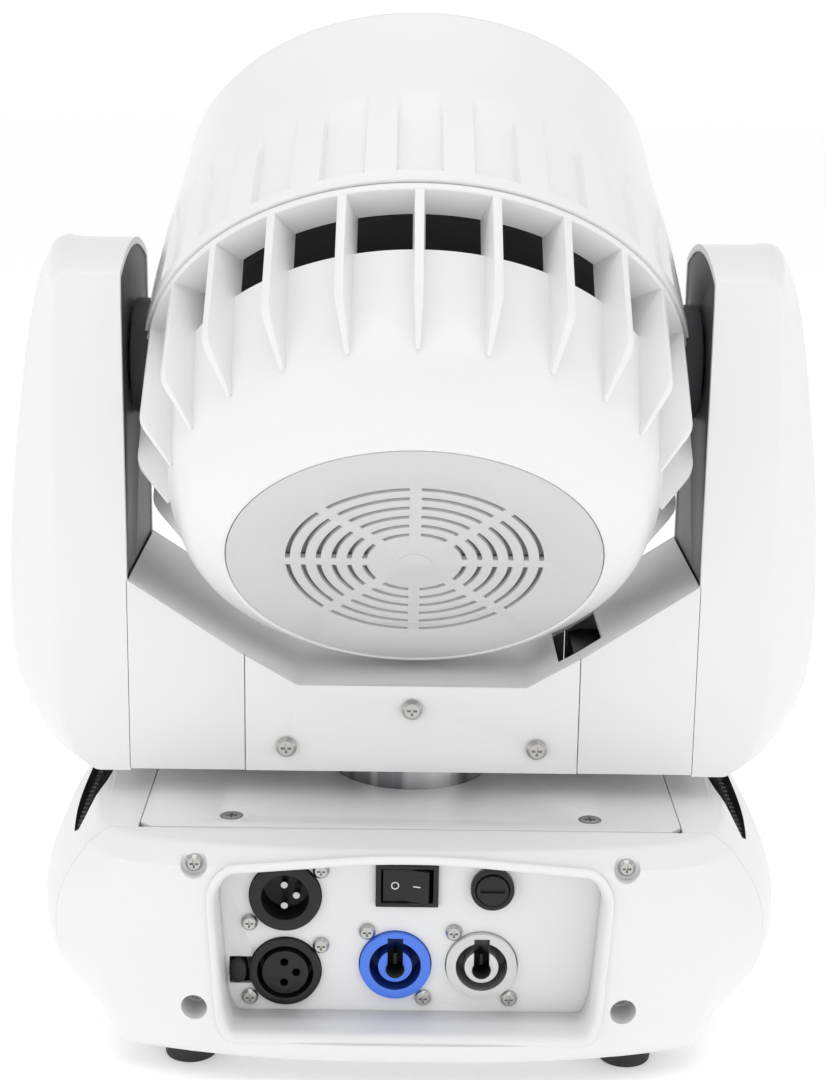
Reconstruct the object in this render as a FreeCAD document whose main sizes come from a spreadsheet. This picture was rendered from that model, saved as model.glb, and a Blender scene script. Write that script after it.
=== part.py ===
# A moving head wash light: a base with its connector panel, a yoke that pans on the
# base, and a finned head that tilts in the yoke. Millimetres, +Z up.
# Origin: the centre of the base pan's underside, on the pan axis. -Y is the connector
# side and +Y the display side. The head rests tilted towards +Y.

import FreeCAD, Part
import math
import os
import re
import Sketcher

Vector = FreeCAD.Vector
Rotation = FreeCAD.Rotation
Placement = FreeCAD.Placement

os.makedirs("parts", exist_ok=True)
doc = FreeCAD.newDocument("moving_head_light")

# ---------------------------------------------------------------- driving sizes

SIZES = {
    # moulded covers, sheet metal and the gaps between pieces
    "wall": 2.4, "sheet": 2.0, "gap": 0.3, "fit_gap": 0.05, "slack": 0.4,
    # the base's moulded skin: half width, half depth and corner half width by level
    "sill_z": 0, "sill_wide": 108, "sill_deep": 82, "sill_corner": 90,
    "low_z": 12, "low_wide": 118.5, "low_deep": 87, "low_corner": 97,
    "belly_z": 33, "belly_wide": 129.5, "belly_deep": 88, "belly_corner": 98.5,
    "waist_z": 50, "waist_wide": 128.3, "waist_deep": 87.5, "waist_corner": 98,
    "shoulder_z": 65, "shoulder_wide": 119.5, "shoulder_deep": 86.5, "shoulder_corner": 96.5,
    "crown_z": 73, "crown_wide": 111, "crown_deep": 80, "crown_corner": 91,
    "flank_y": 40, "flank_in": 8, "seam_y": 66,
    "top_wide": 91.3, "top_deep": 65, "top_corner": 4,
    "grip_in": 95, "grip_deep": 44, "grip_floor": 36, "grip_rim": 7,
    "vent_slot": 5, "vent_pitch": 9, "vent_low": 42, "vent_high": 66,
    "pan_rim": 0.8, "wall_plate_x": 85, "wall_plate_y": 58, "wall_plate_thick": 1.5,
    "foot_radius": 9.5, "foot_tall": 9, "foot_x": 74.5, "foot_y": 67,
    "omega_spacing": 106, "omega_hole": 3.3,
    # connector panel and its recess
    "panel_y": 73.6, "panel_thick": 1.5, "panel_wide": 64, "panel_low": 5, "panel_high": 70.4,
    "recess_top": 69.5, "recess_side_z": 61.5, "recess_side_x": 65.5, "recess_low": 9,
    "recess_low_x": 57, "recess_back": 74.1,
    "socket_hole": 12.3, "socket_barrel": 11.9, "socket_front": 1.8, "socket_deep": 22,
    "flange_long": 31, "flange_short": 26, "flange_thick": 2.2,
    "screw_long": 12, "screw_short": 9.5, "screw_bore": 1.7, "screw_head": 2.8, "screw_head_tall": 1.9,
    "screw_shank": 1.45, "screw_length": 7,
    "dmx_x": -41.7, "dmx_in_z": 52, "dmx_out_z": 24.9,
    "mains_in_x": -4.7, "mains_out_x": 24.4, "mains_z": 27.6,
    "dmx_cavity": 8, "dmx_insert": 7.75, "dmx_groove": 9.5, "dmx_depth": 11,
    "dmx_pin_radius": 1.2, "dmx_pin_ring": 3.7,
    "mains_core": 5.7, "mains_groove": 8.7, "mains_depth": 12, "mains_key": 2.6,
    "latch_x": -57.2, "latch_wide": 6, "latch_tall": 9, "latch_deep": 6,
    "switch_x": -1, "switch_z": 56.5, "switch_wide": 21, "switch_tall": 15,
    "rocker_wide": 16.6, "rocker_tall": 11.4, "rocker_lean": 8, "pivot_back": 0.9, "pivot_pin": 0.8,
    "fuse_x": 27.5, "fuse_z": 56, "fuse_radius": 7.3, "fuse_cap_radius": 5.4,
    "cover_screw_x": 71.1, "cover_screw_high": 67.1, "cover_screw_low": 18.5,
    "boss_radius": 6, "bore_radius": 4.4, "shank_radius": 1.5, "high_seat_y": 81, "low_seat_y": 76,
    "cover_screw_head": 2.9, "cover_screw_tall": 2.1, "yoke_screw_head": 3.6, "yoke_screw_tall": 2.4,
    "top_screw_x": 61.1, "top_screw_y": 54.7, "top_screw_hole": 3.9,
    # power supply and main board
    "supply_out": 78, "supply_in": 8, "supply_rear": 40, "supply_front": 62, "supply_low": 9,
    "supply_high": 44, "supply_pitch": 7, "post_radius": 3, "circuit_z": 12, "circuit_thick": 1.6,
    # display side
    "window_wide": 26, "window_low": 31, "window_high": 50, "window_y": 85,
    "button_radius": 3.7, "button_z": 20, "button_pitch": 16, "button_y": 82,
    # pan tube and drive
    "tube_radius": 28.5, "tube_bore": 25, "tube_top": 104,
    "yoke_low": 82.7, "bearing_radius": 31.5, "housing_wall": 1.6, "pan_pulley_radius": 30.5,
    "pan_pulley_z": 92, "pulley_tall": 8, "pulley_rim": 1.2, "pinion_radius": 6.1, "pan_motor_x": 75,
    "belt_thick": 1.2, "belt_tall": 6,
    "motor_side": 35, "motor_long": 18, "motor_gap": 1, "shaft_long": 4.4,
    # yoke
    "arm_in": 97.85, "arm_deep": 36, "arm_top": 263.5, "arm_crest": 80.5,
    "floor_z": 113.5, "floor_flat": 39.6, "seam_x": 58, "seam_z": 124, "arm_root_z": 150.5,
    "plate_x": 98.3, "cable_slot_in": 51, "cable_slot_out": 66, "cable_slot_rear": 26, "cable_slot_front": 10,
    "yoke_screw_x": 43.5, "yoke_screw_z": 91.2, "yoke_screw_high": 105.4,
    # tilt axis and drive
    "pivot_z": 222, "hub_radius": 20, "hub_in": 80.2, "hub_out": 97.4, "axle_radius": 12,
    "axle_end": 114, "race_radius": 17, "race_long": 5.5, "hub_bore": 7,
    "tilt_pulley_radius": 30.5, "tilt_pulley_x": 105.4, "tilt_motor_z": 135,
    # head, along its own axis from the tilt axis, with the beam positive
    "tilt_rest": 47.8, "seam_a": -5.3, "rear_flange": 93.5, "flange_a": -8, "barrel_radius": 84,
    "barrel_end": -62, "barrel_end_radius": 82, "dome_a": -77, "dome_radius": 75.5,
    "tail_a": -85, "tail_radius": 63, "grille_radius": 61.4, "grille_thick": 2,
    "rib_count": 24, "rib_thick": 3, "rib_corner_a": -48, "window_end_a": -24,
    "bell_radius": 94.5, "bell_front_a": 81.7, "bell_front_radius": 84.8, "bell_wall": 3,
    "flute_front_a": 36, "flute_back_a": -1, "flute_wide": 14, "flute_depth": 2.2,
    "slot_width": 1.6, "slot_ring": 16.4, "slot_pitch": 5, "spoke_width": 3.8, "cap_radius": 5.35,
    "fan_side": 92, "fan_a": -78.4, "fan_thick": 25, "fan_bore": 44.5, "blade_radius": 43,
    "rotor_hub": 18, "sink_radius": 56, "sink_base": 72, "sink_a": 4.2, "fin_a": -50,
    "board_a": 9, "led_pitch": 29, "lens_a": 40, "lens_plate_radius": 76, "lens_radius": 13.4,
    "chassis_radius": 76, "zoom_screw_x": 58.9, "zoom_screw_y": 34, "zoom_screw_radius": 3,
}

sizes = doc.addObject("Spreadsheet::Sheet", "sizes")
for row, (alias, value) in enumerate(SIZES.items(), 1):
    sizes.set(f"A{row}", alias)
    sizes.set(f"B{row}", str(value))
    sizes.setAlias(f"B{row}", alias)
doc.recompute()


def formula(text):
    """A formula in the sheet's own names, as FreeCAD reads it."""
    return re.sub(r"[a-z_]\w*", lambda word: "sizes." + word.group(0), str(text))


def number(text):
    """The formula's value now."""
    return float(sizes.evalExpression(formula(text)))


def bind(thing, field, text):
    thing.setExpression(field, formula(text))


# ---------------------------------------------------------------- building blocks

NODES = {}
TURNS = {"z": (Vector(0, 0, 1), 0), "x": (Vector(0, 1, 0), 90), "y": (Vector(1, 0, 0), -90),
         "-x": (Vector(0, 1, 0), -90)}


def finish(name, thing):
    """Names a finished piece; its label is its file's name."""
    thing.Label = name
    NODES[name] = thing
    return thing


def fresh(kind, name):
    return doc.addObject(kind, name)


def place(thing, at, axis="z"):
    thing.Placement = Placement(Vector(0, 0, 0), Rotation(*TURNS[axis]))
    for field, text in zip("xyz", at):
        bind(thing, "Placement.Base." + field, text)
    return thing


def block(x, y, z):
    """A box between two limits on each axis."""
    box = fresh("Part::Box", "block")
    for field, (low, high) in zip(("Length", "Width", "Height"), (x, y, z)):
        bind(box, field, f"({high}) - ({low})")
    return place(box, (x[0], y[0], z[0]))


def rod(radius, length, at, axis="z"):
    """A cylinder from a point along an axis."""
    bar = fresh("Part::Cylinder", "rod")
    bind(bar, "Radius", radius)
    bind(bar, "Height", length)
    return place(bar, at, axis)


def cone(first, last, length, at, axis="z"):
    horn = fresh("Part::Cone", "cone")
    bind(horn, "Radius1", first)
    bind(horn, "Radius2", last)
    bind(horn, "Height", length)
    return place(horn, at, axis)


def join(*things):
    if len(things) == 1:
        return things[0]
    union = fresh("Part::MultiFuse", "join")
    union.Shapes = list(things)
    return union


def cut(thing, *tools):
    rest = fresh("Part::Cut", "cut")
    rest.Base = thing
    rest.Tool = join(*tools)
    return rest


def common(thing, other):
    shared = fresh("Part::MultiCommon", "common")
    shared.Shapes = [thing, other]
    return shared


def group(*things):
    """Separate solids that share one node."""
    bundle = fresh("Part::Compound", "group")
    bundle.Links = list(things)
    return bundle


def mirrored(thing, normal):
    """The same piece on the other side of the origin plane with this normal."""
    twin = fresh("Part::Mirroring", "mirrored")
    twin.Source = thing
    twin.Normal = normal
    return twin


def draw(drawing, loops):
    """Closed outlines whose corners, or centre and radius, are bound to formulas."""
    for loop in loops:
        if loop[0] == "circle":
            draw_circle(drawing, *loop[1:])
        else:
            draw_polygon(drawing, loop)


def pin_down(drawing, edge, spot, texts, values):
    for axis, (text, value) in enumerate(zip(texts, values)):
        if abs(value) < 1e-9:
            drawing.addConstraint(Sketcher.Constraint("PointOnObject", edge, spot, -2 + axis))
            continue
        kind = ("DistanceX", "DistanceY")[axis]
        index = drawing.addConstraint(Sketcher.Constraint(kind, -1, 1, edge, spot, value))
        bind(drawing, f"Constraints[{index}]", text)


def draw_polygon(drawing, corners):
    values = [tuple(number(text) for text in corner) for corner in corners]
    first = drawing.GeometryCount
    count = len(corners)
    for here, there in zip(values, values[1:] + values[:1]):
        drawing.addGeometry(Part.LineSegment(Vector(*here, 0), Vector(*there, 0)))
    for side in range(count):
        follower = first + (side + 1) % count
        drawing.addConstraint(Sketcher.Constraint("Coincident", first + side, 2, follower, 1))
    for side, (texts, value) in enumerate(zip(corners, values)):
        pin_down(drawing, first + side, 1, texts, value)


def draw_circle(drawing, x, y, radius):
    centre = (number(x), number(y))
    edge = drawing.addGeometry(Part.Circle(Vector(*centre, 0), Vector(0, 0, 1), number(radius)))
    index = drawing.addConstraint(Sketcher.Constraint("Radius", edge, number(radius)))
    bind(drawing, f"Constraints[{index}]", radius)
    pin_down(drawing, edge, 3, (x, y), centre)


def sketch(body, plane, loops, lift="0"):
    """A sketch on one of a body's own origin planes, lifted along the plane's normal."""
    drawing = body.newObject("Sketcher::SketchObject", "outline")
    planes = [f for f in body.Origin.OriginFeatures if f.Role == plane + "_Plane"]
    drawing.AttachmentSupport = [(planes[0], "")]
    drawing.MapMode = "FlatFace"
    bind(drawing, "AttachmentOffset.Base.z", lift)
    draw(drawing, loops)
    return drawing


def new_body(name):
    return fresh("PartDesign::Body", name)


def pad(body, plane, loops, length, lift="0", centred=False):
    feature = body.newObject("PartDesign::Pad", "pad")
    feature.Profile = sketch(body, plane, loops, lift)
    feature.Midplane = centred
    bind(feature, "Length", length)
    return feature


def pocket(body, plane, loops, length, lift="0", reverse=False, centred=False):
    feature = body.newObject("PartDesign::Pocket", "pocket")
    feature.Profile = sketch(body, plane, loops, lift)
    feature.Reversed = reverse
    feature.Midplane = centred
    bind(feature, "Length", length)
    return feature


def turn(body, corners):
    """Material of revolution about Z, from a half section drawn as radius and height."""
    feature = body.newObject("PartDesign::Revolution", "turned")
    feature.Profile = sketch(body, "XZ", [corners])
    feature.ReferenceAxis = (feature.Profile[0], ["V_Axis"])
    feature.Angle = 360
    return feature


def repeat_round(body, feature, count):
    """Repeats a feature evenly about the body's Z axis."""
    pattern = body.newObject("PartDesign::PolarPattern", "round")
    pattern.Originals = [feature]
    axes = [f for f in body.Origin.OriginFeatures if f.Role == "Z_Axis"]
    pattern.Axis = (axes[0], [""])
    pattern.Angle = 360
    bind(pattern, "Occurrences", count)
    body.Tip = pattern
    return pattern


def repeat_along(body, feature, role, length, count):
    """Repeats a feature in a straight row along one of the body's axes."""
    pattern = body.newObject("PartDesign::LinearPattern", "row")
    pattern.Originals = [feature]
    axes = [f for f in body.Origin.OriginFeatures if f.Role == role]
    pattern.Direction = (axes[0], [""])
    bind(pattern, "Length", length)
    pattern.Occurrences = count
    body.Tip = pattern
    return pattern


def rectangle(x_low, x_high, y_low, y_high):
    return [(x_low, y_low), (x_high, y_low), (x_high, y_high), (x_low, y_high)]


def ring(outer, inner, low, high):
    """The half section of a plain ring."""
    return rectangle(inner, outer, low, high)


def turned(name, corners):
    body = new_body(name)
    turn(body, corners)
    return body


def on_head(thing):
    """Moves a piece drawn along the head's own axis to the tilt axis, at the rest tilt."""
    thing.Placement = Placement(Vector(0, 0, 0), Rotation(Vector(1, 0, 0), -number("tilt_rest")))
    bind(thing, "Placement.Base.z", "pivot_z")
    return thing


# ---------------------------------------------------------------- base: moulded skin

LEVELS = ("sill", "low", "belly", "waist", "shoulder", "crown")


def skin_outline(level, inset):
    """One level's outline: flat flanks, bevelled corners and flat ends."""
    wide = f"{level}_wide - ({inset})"
    deep = f"{level}_deep - ({inset})"
    corner = f"{level}_corner - ({inset})"
    knee = f"{level}_wide - flank_in - ({inset})"
    quarter = [(wide, "flank_y"), (knee, "seam_y - 1"), (corner, deep)]
    left = [(f"-({x})", y) for x, y in reversed(quarter)]
    back = [(f"-({x})", f"-({y})") for x, y in quarter]
    right = [(x, f"-({y})") for x, y in reversed(quarter)]
    return quarter + left + back + right


def skin(inset, bottom, top):
    """The base's outer form, or a form inside it, lofted level by level."""
    loft = fresh("Part::Loft", "skin")
    sections = []
    for level in LEVELS:
        section = fresh("Sketcher::SketchObject", "level")
        height = {"sill": bottom, "crown": top}.get(level, f"{level}_z")
        draw(section, [skin_outline(level, inset)])
        bind(section, "Placement.Base.z", height)
        sections.append(section)
    loft.Sections = sections
    loft.Solid = True
    loft.Ruled = True
    return loft


outer_form = skin("0", "sill_z", "crown_z")
inner_form = skin("wall", "sill_z - 1", "crown_z - wall")
grip_form = skin("grip_rim", "sill_z - 1", "crown_z + 1")
shell = cut(outer_form, inner_form)


def panel_recess(grow, low, high):
    """The arched recess's outline, extruded between two depths behind the rear face."""
    side_x = f"recess_side_x + {grow}"
    low_x = f"recess_low_x + {grow}"
    half = [
        (low_x, f"recess_low - {grow}"),
        (f"recess_low_x + 4 + {grow}", f"recess_low + 8 - {grow}"),
        (side_x, f"recess_side_z - 4"),
        (f"recess_side_x - 5 + {grow}", f"recess_side_z + 4 + {grow}"),
        ("14", f"recess_top + {grow}"),
    ]
    outline = half + [(f"-({x})", y) for x, y in reversed(half)]
    body = new_body("recess")
    pad(body, "XZ", [outline], f"({high}) - ({low})", low)
    return body


def end_bosses():
    """Bosses and counterbores for the four screws that hold an end cover."""
    bosses, bores = [], []
    for x in ("cover_screw_x", "-cover_screw_x"):
        for height, seat in (("cover_screw_high", "high_seat_y"), ("cover_screw_low", "low_seat_y")):
            bosses.append(rod("boss_radius", "20", (x, "-90", height), "y"))
            bores.append(rod("bore_radius", f"100 - {seat}", (x, "-100", height), "y"))
            bores.append(rod("shank_radius + gap", "40", (x, "-100", height), "y"))
    return bosses, bores


end_space = block(("-200", "200"), ("-200", "-seam_y - gap"), ("-5", "200"))
bosses, bores = end_bosses()
boss_wood = common(join(*bosses), outer_form)
funnel = common(panel_recess("sheet", "recess_back", "95"), outer_form)
end_cover = common(join(shell, boss_wood), end_space)
rear_cover = cut(common(join(shell, boss_wood, funnel), end_space),
                 panel_recess("0", "60", "120"), *bores)
finish("rear_cover", rear_cover)

# The display side's cover has no recess: a window opening and four button holes instead.
front_cover = mirrored(cut(end_cover, *bores), Vector(0, 1, 0))
window_hole = block(("-window_wide - gap", "window_wide + gap"), ("70", "100"),
                    ("window_low - gap", "window_high + gap"))
BUTTON_STEPS = (-1.5, -0.5, 0.5, 1.5)
button_holes = [rod("button_radius + gap", "30", (f"{step} * button_pitch", "70", "button_z"), "y")
                for step in BUTTON_STEPS]
finish("front_cover", cut(front_cover, window_hole, *button_holes))

# Each side cover carries a moulded hand grip: a pocket open at the top, whose outer wall
# is the bar that the hand closes on, and whose inner wall is slotted for the air outlet.
grip_block = common(block(("grip_in - wall", "140"), ("-grip_deep - wall", "grip_deep + wall"),
                          ("grip_floor - wall", "crown_z")), outer_form)
grip_pocket = common(block(("grip_in", "140"), ("-grip_deep", "grip_deep"),
                           ("grip_floor", "crown_z + 1")), grip_form)
vent_slots = [block(("grip_in - wall - 1", "grip_in + 1"),
                    (f"{step} * vent_pitch - vent_slot / 2", f"{step} * vent_pitch + vent_slot / 2"),
                    ("vent_low", "vent_high")) for step in range(-4, 5)]
side_space = block(("top_wide + slack", "200"), ("-seam_y + gap", "seam_y - gap"), ("-5", "200"))
side_cover = common(cut(join(shell, grip_block), grip_pocket, *vent_slots), side_space)
finish("side_cover_right", side_cover)
finish("side_cover_left", mirrored(side_cover, Vector(1, 0, 0)))

# ---------------------------------------------------------------- base: frame

pan = new_body("base_pan")
pad(pan, "XY", [skin_outline("sill", "wall + pan_rim")], "sheet")
pocket(pan, "XY", [("circle", x, y, "omega_hole") for x in ("-omega_spacing / 2", "omega_spacing / 2")
                   for y in ("-omega_spacing / 2", "omega_spacing / 2")], "20", "-5", reverse=True)
finish("base_pan", pan)

wall_plate = block(("wall_plate_x", "wall_plate_x + wall_plate_thick"),
                   ("-wall_plate_y", "wall_plate_y"), ("sheet", "crown_z - sheet"))
finish("base_side_walls", group(wall_plate, mirrored(wall_plate, Vector(1, 0, 0))))

top = new_body("base_top_plate")
top_corner = [("top_wide", "top_deep - top_corner"), ("top_wide - top_corner", "top_deep")]
top_outline = (top_corner + [(f"-({x})", y) for x, y in reversed(top_corner)]
               + [(f"-({x})", f"-({y})") for x, y in top_corner]
               + [(x, f"-({y})") for x, y in reversed(top_corner)])
pad(top, "XY", [top_outline], "sheet", "crown_z - sheet")
pocket(top, "XY", [("circle", "0", "0", "tube_radius + 0.2")], "20", "crown_z + 5")
TOP_SCREWS = [(x, y) for x in ("-top_screw_x", "top_screw_x") for y in ("-top_screw_y", "top_screw_y")]
pocket(top, "XY", [("circle", x, y, "top_screw_hole") for x, y in TOP_SCREWS], "20", "crown_z + 5")
finish("base_top_plate", top)

top_screws = []
for x, y in TOP_SCREWS:
    head = cone("2.2", "3.6", "1.8", (x, y, "crown_z - 1.9"))
    shank = rod("1.8", "9", (x, y, "crown_z - 10.5"))
    cross = [block((f"{x} - {a}", f"{x} + {a}"), (f"{y} - {b}", f"{y} + {b}"), ("crown_z - 1.1", "crown_z"))
             for a, b in (("1.9", "0.4"), ("0.4", "1.9"))]
    top_screws.append(cut(join(head, shank), *cross))
finish("top_plate_screws", group(*top_screws))

feet = []
for x in ("-foot_x", "foot_x"):
    for y in ("-foot_y", "foot_y"):
        pad_of_rubber = cone("foot_radius - 0.7", "foot_radius", "foot_tall", (x, y, "-foot_tall"))
        feet.append(cut(pad_of_rubber, rod("3.5", "5", (x, y, "-foot_tall"))))
finish("rubber_feet", group(*feet))

# ---------------------------------------------------------------- base: connector panel

plate = new_body("connector_panel")
pad(plate, "XZ", [rectangle("-panel_wide", "panel_wide", "panel_low", "panel_high")],
    "panel_thick", "panel_y - panel_thick")
openings = [("circle", "dmx_x", "dmx_in_z", "socket_hole"), ("circle", "dmx_x", "dmx_out_z", "socket_hole"),
            ("circle", "mains_in_x", "mains_z", "socket_hole"),
            ("circle", "mains_out_x", "mains_z", "socket_hole"),
            ("circle", "fuse_x", "fuse_z", "fuse_radius - 1")]
pocket(plate, "XZ", openings, "30", "panel_y + 10")
switch_side = ("switch_wide / 2 - 1.2", "switch_tall / 2 - 0.6")
pocket(plate, "XZ", [rectangle(f"switch_x - ({switch_side[0]})", f"switch_x + {switch_side[0]}",
                               f"switch_z - ({switch_side[1]})", f"switch_z + {switch_side[1]}")],
       "30", "panel_y + 10")
latch_half = ("latch_wide / 2 + slack", "latch_tall / 2 + slack")
pocket(plate, "XZ", [rectangle(f"latch_x - ({latch_half[0]})", "dmx_x - socket_hole + 1",
                               f"dmx_out_z - ({latch_half[1]})", f"dmx_out_z + {latch_half[1]}")],
       "30", "panel_y + 10")

DMX_SCREWS = [(f"dmx_x + {s} * screw_long", f"{z} + {s} * screw_short")
              for z in ("dmx_in_z", "dmx_out_z") for s in (1, -1)]
MAINS_SCREWS = [(f"{x} - {s} * screw_short", f"mains_z + {s} * screw_long")
                for x in ("mains_in_x", "mains_out_x") for s in (1, -1)]
PANEL_SCREWS = DMX_SCREWS + MAINS_SCREWS
pocket(plate, "XZ", [("circle", x, z, "screw_bore") for x, z in PANEL_SCREWS], "30", "panel_y + 10")
finish("connector_panel", plate)


def socket(x, z, wide, tall, cavity):
    """A panel socket: a barrel through the panel and a flange behind it."""
    flange = block((f"{x} - {wide} / 2", f"{x} + {wide} / 2"),
                   ("-panel_y + panel_thick", "-panel_y + panel_thick + flange_thick"),
                   (f"{z} - {tall} / 2", f"{z} + {tall} / 2"))
    barrel = rod("socket_barrel", "socket_deep", (x, "-panel_y - socket_front", z), "y")
    holes = [rod("screw_bore", "40", (sx, "-100", sz), "y") for sx, sz in PANEL_SCREWS]
    return cut(join(flange, barrel), *cavity, *holes)


FACE = "-panel_y - socket_front"
finish("dmx_in_connector", socket(
    "dmx_x", "dmx_in_z", "flange_long", "flange_short",
    [rod("dmx_cavity", "dmx_depth", ("dmx_x", FACE, "dmx_in_z"), "y")]))

PIN_SPOTS = [("dmx_x - 0.1 * dmx_pin_ring", "dmx_pin_ring"), ("dmx_x - 0.1 * dmx_pin_ring", "-dmx_pin_ring"),
             ("dmx_x + dmx_pin_ring", "0")]
groove = cut(rod("dmx_groove", "dmx_depth", ("dmx_x", FACE, "dmx_out_z"), "y"),
             rod("dmx_insert", "dmx_depth", ("dmx_x", FACE, "dmx_out_z"), "y"))
contact_holes = [rod("dmx_pin_radius + 0.2", "10", (x, FACE, f"dmx_out_z + {z}"), "y")
                 for x, z in PIN_SPOTS]
latch_notch = block(("dmx_x - flange_long", "dmx_x - socket_barrel - slack"), ("-100", "-40"),
                    (f"dmx_out_z - ({latch_half[1]})", f"dmx_out_z + {latch_half[1]}"))
finish("dmx_out_connector", socket("dmx_x", "dmx_out_z", "flange_long", "flange_short",
                                   [groove, latch_notch, *contact_holes]))

latch = new_body("dmx_out_latch")
oval = [("latch_wide / 2", "-latch_tall / 4"), ("latch_wide / 2", "latch_tall / 4"),
        ("latch_wide / 5", "latch_tall / 2"), ("-latch_wide / 5", "latch_tall / 2"),
        ("-latch_wide / 2", "latch_tall / 4"), ("-latch_wide / 2", "-latch_tall / 4"),
        ("-latch_wide / 5", "-latch_tall / 2"), ("latch_wide / 5", "-latch_tall / 2")]
pad(latch, "XZ", [[(f"latch_x - 0.4 + {x}", f"dmx_out_z + {z}") for x, z in oval]],
    "latch_deep", "panel_y + 1.8 - latch_deep")
finish("dmx_out_latch", latch)

for name, x in (("power_in_connector", "mains_in_x"), ("power_out_connector", "mains_out_x")):
    ring_gap = cut(rod("mains_groove", "mains_depth", (x, FACE, "mains_z"), "y"),
                   rod("mains_core", "mains_depth", (x, FACE, "mains_z"), "y"))
    keyway = block((f"{x} - mains_key", f"{x} + mains_key"), ("-90", "-panel_y + 8"),
                   ("mains_z - mains_key / 2", "mains_z + mains_groove + 1.4"))
    finish(name, socket(x, "mains_z", "flange_short", "flange_long", [ring_gap, keyway]))

pins = [rod("dmx_pin_radius", "dmx_depth - 2", (x, f"{FACE} + 2", f"dmx_in_z + {z}"), "y")
        for x, z in PIN_SPOTS]
blades = [block((f"{x} - 0.6", f"{x} + 0.6"), ("-panel_y + 2", "-panel_y + 7.9"),
                ("mains_z - 1", "mains_z + 3")) for x in ("mains_in_x", "mains_out_x")]
finish("connector_contacts", group(*pins, *blades))

bezel = block(("switch_x - switch_wide / 2", "switch_x + switch_wide / 2"),
              ("-panel_y - 1.6", "-panel_y"),
              ("switch_z - switch_tall / 2", "switch_z + switch_tall / 2"))
can = block((f"switch_x - ({switch_side[0]}) + 0.2", f"switch_x + {switch_side[0]} - 0.2"),
            ("-panel_y - 1", "-panel_y + 18"),
            (f"switch_z - ({switch_side[1]}) + 0.2", f"switch_z + {switch_side[1]} - 0.2"))
well = block(("switch_x - rocker_wide / 2 - slack", "switch_x + rocker_wide / 2 + slack"),
             ("-panel_y - 5", "-panel_y + 11"),
             ("switch_z - rocker_tall / 2 - gap", "switch_z + rocker_tall / 2 + gap"))
pivot_pin = rod("pivot_pin", "rocker_tall + 2 * gap + 1",
                ("switch_x", "-panel_y + pivot_back", "switch_z - rocker_tall / 2 - gap - 0.5"))
finish("switch_housing", join(cut(join(bezel, can), well), pivot_pin))

# The rocker leans to its off side at rest. Its section is a shallow V over a round back.
rocker = new_body("switch_rocker")
half_rocker = "rocker_wide / 2 - 0.6"
rocker_section = [(f"-({half_rocker})", "0.6"), ("-2", "4.6"), ("2", "4.6"), (half_rocker, "0.6"),
                  (half_rocker, "-3"), ("0", "-1.8"), (f"-({half_rocker})", "-3")]
pad(rocker, "XY", [rocker_section], "rocker_tall", centred=True)
rocker.Placement = Placement(Vector(0, 0, 0), Rotation(Vector(0, 0, 1), -number("rocker_lean")))
bind(rocker, "Placement.Base.x", "switch_x")
bind(rocker, "Placement.Base.y", "-panel_y + pivot_back")
bind(rocker, "Placement.Base.z", "switch_z")
finish("switch_rocker", cut(rocker, rod("pivot_pin + fit_gap", "2 * rocker_tall", (
    "switch_x", "-panel_y + pivot_back", "switch_z - rocker_tall"))))

fuse_body = join(rod("fuse_radius", "3", ("fuse_x", "-panel_y - 3", "fuse_z"), "y"),
                 rod("fuse_radius - 1.3", "26", ("fuse_x", "-panel_y - 1", "fuse_z"), "y"))
finish("fuse_holder", cut(fuse_body, rod("fuse_cap_radius + gap", "20",
                                         ("fuse_x", "-panel_y - 5", "fuse_z"), "y")))
fuse_plug = join(rod("fuse_cap_radius", "4", ("fuse_x", "-panel_y - 3.6", "fuse_z"), "y"),
                 rod("3", "12", ("fuse_x", "-panel_y + 0.2", "fuse_z"), "y"))
finish("fuse_cap", cut(fuse_plug, block(("fuse_x - 4", "fuse_x + 4"), ("-panel_y - 4", "-panel_y - 2.6"),
                                        ("fuse_z - 0.6", "fuse_z + 0.6"))))


def pan_screw(x, y, z, head, head_tall, shank):
    """A pan-head screw facing -Y: its head's seat at y, with a cross recess."""
    top_of_head = f"{y} - {head_tall}"
    solid = join(cone(f"{head} * 0.7", head, f"{head_tall} * 0.5", (x, top_of_head, z), "y"),
                 rod(head, f"{head_tall} * 0.5", (x, f"{y} - {head_tall} * 0.5", z), "y"),
                 rod(shank, "screw_length", (x, y, z), "y"))
    arms = [block((f"{x} - {head} * {a}", f"{x} + {head} * {a}"),
                  (top_of_head, f"{top_of_head} + {head_tall} * 0.6"),
                  (f"{z} - {head} * {b}", f"{z} + {head} * {b}")) for a, b in ((0.5, 0.12), (0.12, 0.5))]
    return cut(solid, *arms)


finish("connector_screws", group(*[pan_screw(x, "-panel_y", z, "screw_head", "screw_head_tall", "screw_shank")
                                   for x, z in PANEL_SCREWS]))
rear_screws = group(*[pan_screw(x, seat, z, "cover_screw_head", "cover_screw_tall", "shank_radius")
                      for x in ("-cover_screw_x", "cover_screw_x")
                      for z, seat in (("cover_screw_high", "-high_seat_y"), ("cover_screw_low", "-low_seat_y"))])
finish("cover_screws", group(rear_screws, mirrored(rear_screws, Vector(0, 1, 0))))

# ---------------------------------------------------------------- base: inside and display

supply_box = block(("-supply_out", "-supply_in"), ("-supply_rear", "supply_front"), ("supply_low", "supply_high"))
supply_slots = [block((f"-supply_out + 8 + {step} * supply_pitch", f"-supply_out + 12 + {step} * supply_pitch"),
                      ("10 - supply_rear", "supply_front - 12"), ("supply_high - sheet", "supply_high + 6"))
                for step in range(9)]
supply_posts = [rod("post_radius", "supply_low - sheet + 1", (x, y, "sheet"))
                for x in ("6 - supply_out", "-supply_in - 6") for y in ("6 - supply_rear", "supply_front - 6")]
finish("power_supply", join(cut(supply_box, *supply_slots), *supply_posts))

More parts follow.
